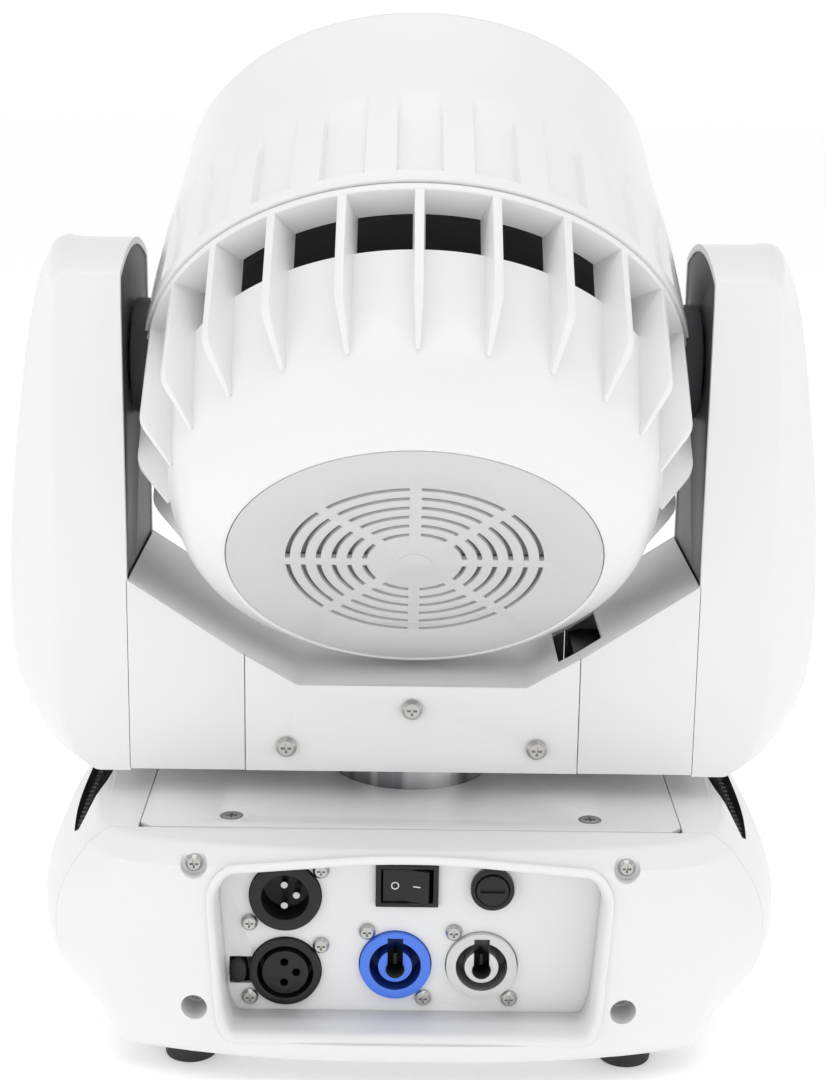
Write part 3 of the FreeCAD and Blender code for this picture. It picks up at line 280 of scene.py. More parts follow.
def base_form(inset=0.0, low=0.0, high=CROWN_Z):
    """A closed solid of the base's outer form, or of a form inside it."""
    heights = (low, 1.2, 3, 5.5, 8.5, 12, 17, 22, 27.5, 33, 38, 44, 50, 54.5, 58, 61.5, 64.5)
    rows = [(z, *curve_through(BASE_LEVELS, z)) for z in heights]
    start = (ROLL_Z, *curve_through(BASE_LEVELS, ROLL_Z))
    for t in (0.0, 0.25, 0.5, 0.75, 0.93):
        rows.append(tuple(a + (b - a) * t for a, b in zip(start, CROWN)))
    rows += [(CROWN_Z - 0.15, 110.6, 82.6, 9.5, 90.7), (CROWN_Z, 110, 82, 9.5, 90.3)]
    points, faces = [], []
    for z, wide, deep, bow, corner in rows:
        loop = base_outline(wide - inset, deep - inset, bow, corner - inset * 0.8)
        points += [Vector((x, y, high if z == CROWN_Z else min(z, high))) * MM for x, y in loop]
    count = len(loop)
    for row in range(len(rows) - 1):
        for i in range(count):
            j = (i + 1) % count
            faces.append((row * count + i, row * count + j, (row + 1) * count + j, (row + 1) * count + i))
    faces.append(tuple(reversed(range(count))))
    faces.append(tuple(range((len(rows) - 1) * count, len(rows) * count)))
    return clean(piece_from("base_form", points, faces, white_abs))


def block(low, high, *finishes, name="block", rounding=0.0, segments=3):
    """A closed box in millimetres, with rounded edges where asked."""
    points = [Vector((x, y, z)) * MM for x in (low[0], high[0]) for y in (low[1], high[1])
              for z in (low[2], high[2])]
    faces = [(0, 1, 3, 2), (4, 6, 7, 5), (0, 4, 5, 1), (2, 3, 7, 6), (0, 2, 6, 4), (1, 5, 7, 3)]
    made = piece_from(name, points, faces, *finishes)
    if rounding:
        soften(made, rounding * MM, segments=segments)
    return made


def prism(outline, axis, low, high, *finishes, name="prism"):
    """A closed prism: an outline in the plane across an axis, between two depths, in mm."""
    spots = {"x": lambda u, v, d: (d, u, v), "y": lambda u, v, d: (u, d, v), "z": lambda u, v, d: (u, v, d)}
    points = [Vector(spots[axis](u, v, d)) * MM for d in (low, high) for u, v in outline]
    count = len(outline)
    faces = [tuple(range(count)), tuple(range(count, 2 * count))]
    faces += [(i, (i + 1) % count, count + (i + 1) % count, count + i) for i in range(count)]
    return clean(piece_from(name, points, faces, *finishes))


def rounded_loop(corners, radii, steps=6):
    """A closed outline with rounded corners."""
    count = len(corners)
    wrapped = [corners[-1], *corners, corners[0]]
    path = []
    for i in range(count):
        path += round_corners(wrapped[i:i + 3], [radii[i]], steps)[1:-1]
    return path


def bar(radius, centre, axis, low, high, sides=40, *finishes, name="bar"):
    """A closed round bar in mm, used to bore holes."""
    ring = [(centre[0] + radius * math.cos(2 * math.pi * i / sides),
             centre[1] + radius * math.sin(2 * math.pi * i / sides)) for i in range(sides)]
    return prism(ring, axis, low, high, *finishes, name=name)


# the recess for the connector panel, as an arched outline on the rear face
RECESS = [(59.5, 9), (62.4, 17), (65.5, 57.5), (60.5, 65.5), (14, 69.5)]
RECESS_RADII = (4, 5, 5, 4, 26)
RECESS_BACK_Y, LIP = -74.1, 1.8
# x, height and seat depth of each cover screw, with the radii of its boss and its well
COVER_SCREWS = ((71.1, 67.1, 81), (71.1, 18.5, 76))
BOSS_RADIUS, SCREW_WELL = 6, 4.4


def recess_outline(grow):
    """The recess's outline, grown outwards by a distance."""
    corners = [(x + (grow if x > 20 else 0), z + (grow if z > 38 else -grow)) for x, z in RECESS]
    left = [(-x, z) for x, z in reversed(corners)]
    return rounded_loop(corners + left, RECESS_RADII + tuple(reversed(RECESS_RADII)))


def end_cover(name, side, openings):
    """One end cover: a shell with screw bosses, and its own openings."""
    cover = base_form()
    space = block((-200, -200, -5), (200, -SEAM_Y - SEAM_GAP, 200))
    if side > 0:
        space.data.transform(Matrix.Scale(-1, 4, (0, 1, 0)))
        clean(space)
    carve(cover, space, "INTERSECT")
    hollow = base_form(BASE_WALL, low=-1, high=CROWN_Z - BASE_WALL)
    for x, z, _ in COVER_SCREWS:
        for flip in (-1, 1):
            carve(hollow, bar(BOSS_RADIUS, (flip * x, z), "y", -95, 95))
    carve(cover, hollow)
    for x, z, seat in COVER_SCREWS:
        for flip in (-1, 1):
            carve(cover, bar(SCREW_WELL, (flip * x, z), "y", side * seat, side * 100))
    for opening in openings:
        carve(cover, opening)
    cover.name = cover.data.name = name
    return cover


def rear_face_y(x, z):
    """The rear face's Y at a point of it."""
    deep, bow, corner = curve_through(BASE_LEVELS, min(z, ROLL_Z))[1:]
    if z > ROLL_Z:
        t = (z - ROLL_Z) / (CROWN_Z - ROLL_Z)
        deep, bow, corner = (a + (b - a) * t for a, b in zip((deep, bow, corner), CROWN[2:]))
    return -face_depth(x, deep, bow, corner)


def recess_skin():
    """The recess's moulded funnel: it rolls over from the rear face and runs in to the panel."""
    rows = ((LIP, -0.03), (1.35, 0.08), (0.95, 0.35), (0.6, 0.85), (0.35, 1.8), (0.15, 3.6),
            (0.05, 7), (0, None))
    points, faces = [], []
    for grow, depth in rows:
        for x, z in recess_outline(grow):
            y = RECESS_BACK_Y if depth is None else min(rear_face_y(x, z) + depth, RECESS_BACK_Y)
            points.append(Vector((x, y, z)) * MM)
    count = len(recess_outline(0))
    for row in range(len(rows) - 1):
        for i in range(count):
            j = (i + 1) % count
            faces.append((row * count + i, row * count + j, (row + 1) * count + j, (row + 1) * count + i))
    return piece_from("recess_skin", points, faces, white_abs)


# Rear cover: the arched funnel in it leads plugs to the connector panel.
rear_cover = soften(end_cover("base_rear_cover", -1, []), 0.5 * MM)
carve(rear_cover, prism(recess_outline(LIP), "y", -100, -50))
clean(rear_cover, outward=False)
funnel = clean(recess_skin(), crease=60, outward=False)
funnel_wall = funnel.modifiers.new("wall", "SOLIDIFY")
funnel_wall.thickness, funnel_wall.offset = 1.6 * MM, 1
settle(funnel)


def merge(name, *pieces):
    """Joins finished meshes into one piece."""
    form = bmesh.new()
    finishes = []
    for piece in pieces:
        start = len(form.faces)
        form.from_mesh(piece.data)
        form.faces.ensure_lookup_table()
        slots = [finish for finish in piece.data.materials]
        for finish in slots:
            if finish not in finishes:
                finishes.append(finish)
        for face in form.faces[start:]:
            if slots:
                face.material_index = finishes.index(slots[min(face.material_index, len(slots) - 1)])
    mesh = bpy.data.meshes.new(name)
    form.to_mesh(mesh)
    form.free()
    for finish in finishes:
        mesh.materials.append(finish)
    for piece in pieces:
        bpy.data.objects.remove(piece)
    joined = bpy.data.objects.new(name, mesh)
    bpy.context.scene.collection.objects.link(joined)
    return joined


rear_cover = merge("base_rear_cover", rear_cover, funnel)
fit_piece(rear_cover, "base", "white_shell", "rear_cover")

# Front cover: the display side, with a window opening and four button holes.
window_hole = prism(rounded_loop([(26.3, 30.7), (26.3, 50.3), (-26.3, 50.3), (-26.3, 30.7)], (2,) * 4),
                    "y", 60, 100)
button_bores = [bar(4, (x, 20), "y", 60, 100) for x in (-24, -8, 8, 24)]
front_cover = end_cover("base_front_cover", 1, [window_hole, *button_bores])
soften(front_cover, 0.5 * MM)
fit_piece(front_cover, "base", "white_shell", "front_cover")

# Side covers: each has a hand grip moulded in, a slim mouth along its shoulder whose outer
# edge is the bar that the hand closes on. Its inner wall is a black ribbed air outlet.
GRIP_LONG, GRIP_FLOOR, BAR_X, MOUTH_X = 54, 40, 116.6, 107
vent_black = finish_of("vent_black", (0.03, 0.03, 0.032), 0.5, grain=1500, drift=0.4,
                       Specular_IOR_Level=0.4)
vent_rib_grey = finish_of("vent_rib_grey", (0.34, 0.34, 0.345), 0.4, grain=1500, drift=0.2)


def mouth_inner(y):
    """The mouth's inner edge, which closes in towards the mouth's two ends."""
    return MOUTH_X + 6.6 * (abs(y) / GRIP_LONG) ** 2.2


def mouth_outer(y):
    """The mouth's outer edge, along the bar."""
    return BAR_X + 1 - 2.4 * (abs(y) / GRIP_LONG) ** 3


def side_cover():
    """The right-hand side cover with its grip."""
    cover = base_form()
    hollow = base_form(BASE_WALL, low=-1, high=CROWN_Z - BASE_WALL)
    carve(hollow, block((MOUTH_X - BASE_WALL, -GRIP_LONG - BASE_WALL, GRIP_FLOOR - BASE_WALL),
                        (140, GRIP_LONG + BASE_WALL, 90)))
    carve(cover, hollow)
    carve(cover, block((91.7, -SEAM_Y + SEAM_GAP, -5), (200, SEAM_Y - SEAM_GAP, 200)), "INTERSECT")
    steps = [GRIP_LONG * (i / 14) for i in range(-14, 15)]
    inner_edge = [(mouth_inner(y), y) for y in steps]
    outer_edge = [(mouth_outer(y), y) for y in reversed(steps[1:-1])]
    carve(cover, prism(inner_edge + outer_edge, "z", GRIP_FLOOR, 90, vent_black))
    return soften(cover, 0.8 * MM, segments=3)


def vent_ribs():
    """The air outlet's ribs: thin upright fins along both walls of the mouth."""
    points, faces = [], []
    for step in range(-12, 13):
        y = step * 4.0
        for x, reach, top in ((mouth_inner(y), 1.6, 66), (mouth_outer(y), -1.6, 61)):
            first = len(points)
            for dx in (-reach * 0.3, reach):
                for dy in (-0.7, 0.7):
                    for z in (GRIP_FLOOR - 0.5, top):
                        points.append(Vector((x + dx, y + dy, z)) * MM)
            faces += [tuple(first + i for i in side) for side in
                      ((0, 1, 3, 2), (4, 6, 7, 5), (0, 4, 5, 1), (2, 3, 7, 6), (0, 2, 6, 4), (1, 5, 7, 3))]
    return clean(piece_from("vent_ribs", points, faces, vent_rib_grey))


for flip, name in ((1, "right"), (-1, "left")):
    cover = merge(f"base_side_cover_{name}", side_cover(), vent_ribs())
    if flip < 0:
        cover.data.transform(Matrix.Scale(-1, 4, (1, 0, 0)))
    clean(cover, outward=flip < 0)
    fit_piece(cover, "base", "white_shell", f"side_cover_{name}")

# ---------------------------------------------------------------- yoke: crossbar and arms
# The yoke is a folded steel crossbar under moulded covers. Each arm is an L-shaped steel
# plate with one moulded cover over it, screwed on from inside.

# height, outer bulge at mid depth, and where the flat rear and front faces end
ARM_LEVELS = ((81.7, 119, 110), (84, 125.5, 113), (88, 131.2, 117), (94, 135.5, 119.6), (102, 139.7, 121.6),
              (110, 142.4, 122.4), (122, 143.8, 122.9), (134, 144, 123), (152, 143.4, 123), (171, 142.2, 123),
              (190, 140.3, 122.8), (207, 138, 122.5), (222, 135.8, 122.2), (235, 133.6, 122),
              (246, 131, 121.7),
              (254, 128.4, 121.3), (259, 126, 120.4))
ARM_IN, ARM_DEEP, ARM_TOP, ARM_CREST = 97.85, 36, 263.5, 80.5
ARM_WALL = 2.4


def arm_top(y):
    return ARM_TOP - ARM_CREST + math.sqrt(ARM_CREST ** 2 - y ** 2)


def arm_section(bulge, face):
    """One plan section of an arm, from the rear inner rim round to the front inner rim."""
    bow = [(face + (bulge - face) * (1 - (abs(y) / ARM_DEEP) ** 2.1), y)
           for y in (-32, -28, -22, -15, -7, 0, 7, 15, 22, 28, 32)]
    start = round_corners([(ARM_IN, -ARM_DEEP), (face, -ARM_DEEP), bow[0]], (2.0,), 4)
    end = round_corners([bow[-1], (face, ARM_DEEP), (ARM_IN, ARM_DEEP)], (2.0,), 4)
    return [tuple(point) for point in start[:-1]] + bow + [tuple(point) for point in end[1:]]


def arm_skin():
    """The arm's outer skin, open at its inner side, with a shallow arched top and rolled edges."""
    low = 81.7
    shares = [0, 0.012, 0.03, 0.06, 0.1, 0.15, 0.21, 0.28, 0.36, 0.45, 0.54, 0.63, 0.71, 0.78, 0.84,
              0.885, 0.92,
              0.945]
    shares += [0.965, 0.978, 0.988, 0.995, 1.0]
    points, count = [], 0
    for share in shares:
        bulge, face = curve_through(ARM_LEVELS, low + (ARM_TOP - low) * share)
        section = arm_section(bulge, face)
        tuck = 0.0
        if share > 0.965:
            t = (share - 0.965) / 0.035
            tuck = 4.5 * (1 - math.sqrt(max(0.0, 1 - t * t)))
        for x, y in section:
            z = low + (arm_top(y) - low) * share
            pull = tuck * min(1.0, max(0.0, (x - ARM_IN) / 6))
            points.append(Vector((x - pull, y * (1 - 0.35 * tuck / ARM_DEEP), z)) * MM)
        count = len(section)
    rows = len(shares)
    faces = []
    for row in range(rows - 1):
        for i in range(count - 1):
            near, far = row * count + i, (row + 1) * count + i
            faces.append((near, near + 1, far + 1, far))
    # the two ends: strips across the section, which follow the arch at the top
    for row in (0, rows - 1):
        base, cross = row * count, 12
        lines = []
        for i in range(count // 2):
            first, last = points[base + i], points[base + count - 1 - i]
            line = [base + i]
            for step in range(1, cross):
                spot = first.lerp(last, step / cross)
                if row:
                    spot.z += (arm_top(spot.y / MM) - arm_top(first.y / MM)) * MM
                points.append(spot)
                line.append(len(points) - 1)
            lines.append(line + [base + count - 1 - i])
        for near, far in zip(lines, lines[1:]):
            for step in range(cross):
                faces.append((near[step], near[step + 1], far[step + 1], far[step]))
        if count % 2:
            tip = base + count // 2
            faces += [(lines[-1][step], lines[-1][step + 1], tip) for step in range(cross)]
    return clean(piece_from("arm_skin", points, faces, white_abs))


CHEEK = [(58, 82.2), (98.4, 82.2), (98.4, 150.9), (97.85, 150.5), (58, 124)]


def arm_cover(flip, name):
    cover = arm_skin()
    wall = cover.modifiers.new("wall", "SOLIDIFY")
    wall.thickness, wall.offset = ARM_WALL * MM, -1
    settle(cover)
    cheeks = []
    for side in (-1, 1):
        low, high = sorted((side * ARM_DEEP, side * (ARM_DEEP - ARM_WALL)))
        cheek = prism(CHEEK, "y", low, high, white_abs)
        cheeks.append(soften(cheek, 0.35 * MM))
    cover = merge(name, cover, *cheeks)
    if flip < 0:
        cover.data.transform(Matrix.Scale(-1, 4, (1, 0, 0)))
        clean(cover, merge=0.000001)
    else:
        clean(cover, merge=0.000001)
    return fit_piece(cover, "yoke", "white_shell", "arm_cover_right" if flip > 0 else "arm_cover_left")


arm_cover(1, "yoke_arm_right")
arm_cover(-1, "yoke_arm_left")

# ---------------------------------------------------------------- head: rear shell
# The head's rear half is one die-cast shell, painted white: a barrel with a flange, 24
# cooling ribs, an air window between each pair, and a domed end that carries the grille.

TILT, PIVOT_Z = math.radians(47.8), 222
RIBS = 24


def head_matrix():
    """From the head's own axis, in mm with the beam along +Z, to its place at rest."""
    return (Matrix.Translation((0, 0, PIVOT_Z * MM)) @ Matrix.Rotation(-TILT, 4, "X") @ Matrix.Scale(MM, 4))


def lathe(name, profile, turns, *finishes, shape=None, crease=32):
    """A turned piece on the head's axis: radius and height pairs; shape may move each point."""
    points, faces = [], []
    angles = [2 * math.pi * i / turns for i in range(turns)] if isinstance(turns, int) else turns
    turns = len(angles)
    for angle in angles:
        for radius, height in profile:
            if shape:
                radius, height = shape(radius, height, angle)
            points.append((radius * math.cos(angle), radius * math.sin(angle), height))
    rows = len(profile)
    for i in range(turns):
        j = (i + 1) % turns
        for row in range(rows):
            after = (row + 1) % rows
            faces.append((i * rows + row, j * rows + row, j * rows + after, i * rows + after))
    return clean(piece_from(name, points, faces, *finishes), crease=crease, merge=0.001)


def to_head(piece):
    piece.data.transform(head_matrix())
    return piece


head_paint = finish_of("head_paint", (0.84, 0.84, 0.845), 0.33, grain=1600, depth=0.00002, drift=0.02)
dome_profile = round_corners([(80.2, -30), (84, -24.2), (82, -62), (75.5, -77), (63, -85), (61.7, -85),
                              (61.7, -82.9)],
                             (0.6, 9, 5, 2.5, 0.4), 6)
dome_inner = round_corners([(61.7, -82.9), (57.4, -82.9), (57.4, -80.6), (62, -80.6), (73, -74.5),
                            (79.6, -60), (81.6, -24.2)],
                           (0.2, 0.2, 0.2, 3, 7), 4)
barrel_profile = [tuple(p) for p in dome_profile[4:]] + [tuple(p) for p in dome_inner[1:]]
barrel = lathe("barrel", barrel_profile, 192, head_paint)
flange_profile = round_corners([(82, -8), (93.5, -8), (93.5, -5.35), (81.4, -5.35)], (0.7, 0.7), 4)
flange = lathe("flange", [tuple(p) for p in flange_profile], 192, head_paint)


def rib_blade():
    """One cooling rib: a thin blade that runs out to a point on the barrel."""
    outline = round_corners([(83.2, -6.2), (93.2, -6.2), (93.5, -47), (82.2, -62.5), (80.8, -61),
                             (81.6, -24), (81.6, -7)],
                            (0.2, 3.5, 0.4, 0.3, 0.3), 4)
    half_in, half_out = 1.75, 1.45
    points, faces = [], []
    for side in (-1, 1):
        for radius, height in outline:
            half = half_in + (half_out - half_in) * (radius - 82) / 11.5
            if height > -24.4 and radius < 84:
                half = 2.0
            if height < -47:
                half *= 1 - 0.6 * (-47 - height) / 15
            points.append((radius, side * half, height))
    count = len(outline)
    faces = [tuple(range(count)), tuple(range(count, 2 * count))]
    faces += [(i, (i + 1) % count, count + (i + 1) % count, count + i) for i in range(count)]
    return soften(piece_from("rib", points, faces, head_paint), 0.45, segments=2)


def ring_tree(name, finish):
    """Geometry Nodes: one form repeated evenly round the Z axis."""
    tree = bpy.data.node_groups.new(name, "GeometryNodeTree")
    face = tree.interface
    face.new_socket("Geometry", in_out="INPUT", socket_type="NodeSocketGeometry")
    count_in = face.new_socket("Count", in_out="INPUT", socket_type="NodeSocketInt")
    start_in = face.new_socket("First angle", in_out="INPUT", socket_type="NodeSocketFloat")
    face.new_socket("Geometry", in_out="OUTPUT", socket_type="NodeSocketGeometry")
    nodes, links = tree.nodes, tree.links
    given, out = nodes.new("NodeGroupInput"), nodes.new("NodeGroupOutput")
    spots, place = nodes.new("GeometryNodePoints"), nodes.new("GeometryNodeInstanceOnPoints")
    number = nodes.new("GeometryNodeInputIndex")
    step, angle = nodes.new("ShaderNodeMath"), nodes.new("ShaderNodeMath")
    turn, real, coat = (nodes.new("ShaderNodeCombineXYZ"), nodes.new("GeometryNodeRealizeInstances"),
                        nodes.new("GeometryNodeSetMaterial"))
    step.operation, angle.operation = "DIVIDE", "MULTIPLY_ADD"
    step.inputs[0].default_value = 2 * math.pi
    links.new(given.outputs["Count"], spots.inputs["Count"])
    links.new(given.outputs["Count"], step.inputs[1])
    links.new(number.outputs[0], angle.inputs[0])
    links.new(step.outputs[0], angle.inputs[1])
    links.new(given.outputs["First angle"], angle.inputs[2])
    links.new(angle.outputs[0], turn.inputs["Z"])
    links.new(spots.outputs[0], place.inputs["Points"])
    links.new(given.outputs["Geometry"], place.inputs["Instance"])
    links.new(turn.outputs[0], place.inputs["Rotation"])
    links.new(place.outputs[0], real.inputs[0])
    coat.inputs["Material"].default_value = finish
    links.new(real.outputs[0], coat.inputs["Geometry"])
    links.new(coat.outputs[0], out.inputs[0])
    return tree, count_in.identifier, start_in.identifier


def repeat_round(piece, count, finish, first_angle=0.0, crease=32):
    """Repeats a piece round the head's own axis, as one plain mesh."""
    tree, count_key, start_key = ring_tree(piece.name + "_ring", finish)
    spread = piece.modifiers.new("ring", "NODES")
    spread.node_group = tree
    spread[count_key], spread[start_key] = count, first_angle
    settle(piece)
    return clean(piece, crease, merge=0.0001, outward=False)


ribs = repeat_round(rib_blade(), RIBS, head_paint)
rear_shell = to_head(merge("head_rear_shell_skin", barrel, flange, ribs))
fit_piece(rear_shell, "head", "white_metal", "head_rear_shell")

# ---------------------------------------------------------------- head: front bell
# A moulded bell over the lens end, with a shallow flute in line with each space between
# ribs at its rear edge, and a plain rolled lip at the front.

FLUTE_WIDE, FLUTE_DEEP, FLUTE_BACK, FLUTE_FRONT = 14, 2.3, -1, 37


def smooth_step(t):
    t = min(1.0, max(0.0, t))
    return t * t * (3 - 2 * t)


def fluted(radius, height, angle):
    """The bell's radius, less the flute where there is one."""
    if height < -1.2 or height > 60 or radius < 90.5 - max(0.0, height) * 0.085:
        return radius, height
    pitch = 2 * math.pi / RIBS
    off = abs((angle + pitch / 2) % pitch - pitch / 2) * radius
    across = 1 - smooth_step((off - FLUTE_WIDE / 2 + 0.35) / 0.7)
    along = smooth_step((height - FLUTE_BACK) / 0.9) * (1 - smooth_step((height - 20) / (FLUTE_FRONT - 20)))
    return radius - FLUTE_DEEP * across * along, height


outer = [(94.3, -4.98), (94.5, -4.7), (94.5, -2), (94.5, -1.1), (94.5, -0.7), (94.45, -0.3), (94.4, 0.3),
         (94.3, 2), (94.05, 5), (93.75, 9), (93.4, 14), (93.0, 19), (92.5, 24), (91.9, 29), (91.2, 34),
         (90.6, 38), (89.8, 43),
         (88.6, 50), (87.7, 56), (86.8, 62), (85.9, 69), (85.2, 75), (84.95, 79), (84.7, 80.8), (84.1, 81.5),
         (83.3, 81.7), (82.4, 81.6), (82.0, 81.1), (81.8, 79), (82.6, 70), (83.6, 62), (86.2, 48), (88.0, 34),
         (89.6, 20), (90.3, 8), (90.4, -2), (90.6, -4.98)]
flute_steps = (-0.46, -0.4, -0.352, -0.334, -0.326, -0.318, -0.31, -0.3, -0.27, -0.2, -0.1)
flute_steps = flute_steps + (0.0,) + tuple(-step for step in reversed(flute_steps))
bell_angles = [2 * math.pi * (rib + step) / RIBS for rib in range(RIBS) for step in flute_steps]
bell = lathe("head_front_bell_skin", outer, bell_angles, white_abs, shape=fluted, crease=40)
# prism() scales by MM and the head's units are already mm, so each side gets only a pinhole
# on the hub's axis, 0.04 mm across. The hub itself runs through the skin, uncut.
PINHOLE_SIDES, PINHOLE_RADIUS, PINHOLE_FROM, PINHOLE_TO = 48, 20.5, 60000, 120000
pinhole_turns = [math.pi * i / (PINHOLE_SIDES / 2) for i in range(PINHOLE_SIDES)]
pinhole = [(PINHOLE_RADIUS * math.cos(turn), PINHOLE_RADIUS * math.sin(turn)) for turn in pinhole_turns]
for flip in (-1, 1):
    carve(bell, prism(pinhole, "x", flip * PINHOLE_FROM, flip * PINHOLE_TO))
clean(bell, crease=40, merge=0.001)
to_head(bell)
fit_piece(bell, "head", "white_shell", "head_front_bell")

# ---------------------------------------------------------------- painted and plated metalwork
# Sheet steel parts carry a white powder coat with a slight orange peel; the plates inside
# the arms and the head's frame are dark. Turned and extruded parts are bare or plated.

white_powder = finish_of("white_powder", (0.8, 0.8, 0.805), 0.4, grain=700, depth=0.00004,
                         Specular_IOR_Level=0.4)
dark_coat = finish_of("dark_coat", (0.055, 0.055, 0.06), 0.5, grain=900, depth=0.00004, drift=0.12)
bare_metal = finish_of("bare_metal", (0.6, 0.6, 0.61), 0.38, grain=1800, depth=0.00001, drift=0.1,
                       Metallic=1.0)
nickel_plate = finish_of("nickel_plate", (0.5, 0.495, 0.48), 0.26, grain=3000, depth=0.000006, drift=0.12,
                         Metallic=1.0)
ground_steel = finish_of("ground_steel", (0.7, 0.7, 0.71), 0.16, grain=3500, depth=0.000004, drift=0.06,
                         Metallic=1.0)
black_nylon = finish_of("black_nylon", (0.012, 0.012, 0.013), 0.38, grain=2200, depth=0.00003, drift=0.2,
                        Specular_IOR_Level=0.35)
socket_blue = finish_of("socket_blue", (0.07, 0.2, 0.82), 0.33, grain=2600, drift=0.06)
socket_grey = finish_of("socket_grey", (0.66, 0.66, 0.65), 0.35, grain=2600, drift=0.05)
foot_rubber = finish_of("foot_rubber", (0.025, 0.025, 0.026), 0.75, grain=1300, depth=0.00008, drift=0.25)
belt_rubber = finish_of("belt_rubber", (0.03, 0.03, 0.03), 0.8, grain=1600, depth=0.00008, drift=0.2)
solder_mask = finish_of("solder_mask", (0.02, 0.15, 0.06), 0.3, grain=600, depth=0.00006, drift=0.3)
motor_coat = finish_of("motor_coat", (0.03, 0.03, 0.033), 0.45, grain=900, depth=0.00003, drift=0.2)
grille_coat = finish_of("grille_coat", (0.64, 0.64, 0.645), 0.5, grain=900, depth=0.00003, drift=0.02)
clear_acrylic = finish_of("clear_acrylic", (0.93, 0.95, 0.97), 0.06, grain=500, depth=0.000004, drift=0.02,
                          gloss_drift=0.03, Transmission_Weight=0.85, IOR=1.49)
smoked_acrylic = finish_of("smoked_acrylic", (0.02, 0.022, 0.025), 0.08, grain=700, depth=0.000004, drift=0.2,
                           gloss_drift=0.03)


def tube_with_painted_reflections():
    """Polished tube: light and dark streaks that run up the tube, painted into its colour as reflections."""
    finish = finish_of("polished_tube", (0.68, 0.68, 0.69), 0.2, grain=2400, depth=0.000004, Metallic=1.0)
    nodes, links = finish.node_tree.nodes, finish.node_tree.links
    where, stretch = nodes.new("ShaderNodeTexCoord"), nodes.new("ShaderNodeMapping")
    stretch.inputs["Scale"].default_value = (90, 90, 3)
    reflection_streaks, ramp = nodes.new("ShaderNodeTexNoise"), nodes.new("ShaderNodeValToRGB")
    reflection_streaks.inputs["Scale"].default_value = 1.0
    ramp.color_ramp.elements[0].position, ramp.color_ramp.elements[0].color = 0.38, (0.3, 0.3, 0.31, 1)
    ramp.color_ramp.elements[1].position, ramp.color_ramp.elements[1].color = 0.6, (0.85, 0.85, 0.86, 1)
    links.new(where.outputs["Object"], stretch.inputs["Vector"])
    links.new(stretch.outputs["Vector"], reflection_streaks.inputs["Vector"])
    links.new(reflection_streaks.outputs["Fac"], ramp.inputs["Fac"])
    links.new(ramp.outputs["Color"], nodes["Principled BSDF"].inputs["Base Color"])
    return finish


# The tube's streaked colour is painted reflection.
polished_tube = tube_with_painted_reflections()


def dress(finish, *nodes):
    """Gives CAD nodes a finish, keeping their own shape."""
    for name in nodes:
        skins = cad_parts[name].data.materials
        skins.clear()
        skins.append(finish)


dress(white_abs, "rear_cover", "front_cover", "side_cover_left", "side_cover_right", "arm_cover_left",
      "arm_cover_right", "head_rear_shell", "head_front_bell")
dress(white_powder, "base_pan", "base_side_walls", "base_top_plate", "connector_panel", "yoke_crossbar",
      "yoke_floor", "yoke_centre_covers")
dress(dark_coat, "arm_plate_left", "arm_plate_right", "tilt_hubs", "head_chassis")
dress(bare_metal, "power_supply", "pan_fixed_pulley", "pan_motor_pulley", "tilt_motor_pulley", "tilt_pulley",
      "heat_sink")
dress(nickel_plate, "connector_contacts", "connector_screws", "cover_screws", "top_plate_screws",
      "yoke_screws", "zoom_screw")
dress(ground_steel, "pan_bearing", "tilt_bearings")
dress(black_nylon, "dmx_in_connector", "dmx_out_connector", "dmx_out_latch", "switch_housing",
      "switch_rocker", "fuse_holder", "fuse_cap", "fan_frame", "fan_rotor",
      *(f"menu_button_{number}" for number in (1, 2, 3, 4)))
dress(socket_blue, "power_in_connector")
dress(socket_grey, "power_out_connector")
dress(foot_rubber, "rubber_feet")
dress(belt_rubber, "pan_belt", "tilt_belt")
dress(solder_mask, "main_board", "led_board")
dress(motor_coat, "pan_motor", "tilt_motor", "zoom_motor")
dress(grille_coat, "rear_grille")
dress(clear_acrylic, "lens_array")
dress(smoked_acrylic, "display_window")
dress(polished_tube, "pan_tube")


def broken_edges(name, node, width, *finishes, segments=2, angle=38):
    """A CAD node's own shape with its sharp edges broken, as moulding and deburring leave them."""
    piece = bpy.data.objects.new(name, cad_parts[node].data.copy())
    bpy.context.scene.collection.objects.link(piece)
    form = bmesh.new()
    form.from_mesh(piece.data)
    bmesh.ops.remove_doubles(form, verts=form.verts, dist=0.000005)
    bmesh.ops.dissolve_limit(form, angle_limit=math.radians(0.6), verts=form.verts, edges=form.edges)
    form.to_mesh(piece.data)
    form.free()
    piece.data.materials.clear()
    for finish in finishes:
        piece.data.materials.append(finish)
    soften(piece, width * MM, segments=segments, angle=angle)
    return piece


# ---------------------------------------------------------------- base: metalwork and sockets
# The panel, top plate and sockets keep their measured shapes; every outer edge is broken
# by a fraction of a millimetre so that it takes the light.

for name, node, width, finish, slot in (
        ("panel_plate", "connector_panel", 0.2, white_powder, "white_metal"),
        ("top_plate", "base_top_plate", 0.35, white_powder, "white_metal"),
        ("data_input_socket", "dmx_in_connector", 0.3, black_nylon, "black_plastic"),
        ("data_output_socket", "dmx_out_connector", 0.3, black_nylon, "black_plastic"),
        ("switch_frame", "switch_housing", 0.35, black_nylon, "black_plastic"),
        ("fuse_body", "fuse_holder", 0.3, black_nylon, "black_plastic"),
        ("feet", "rubber_feet", 0.6, foot_rubber, "rubber")):
    fit_piece(broken_edges(name, node, width, finish), "base", slot, node)
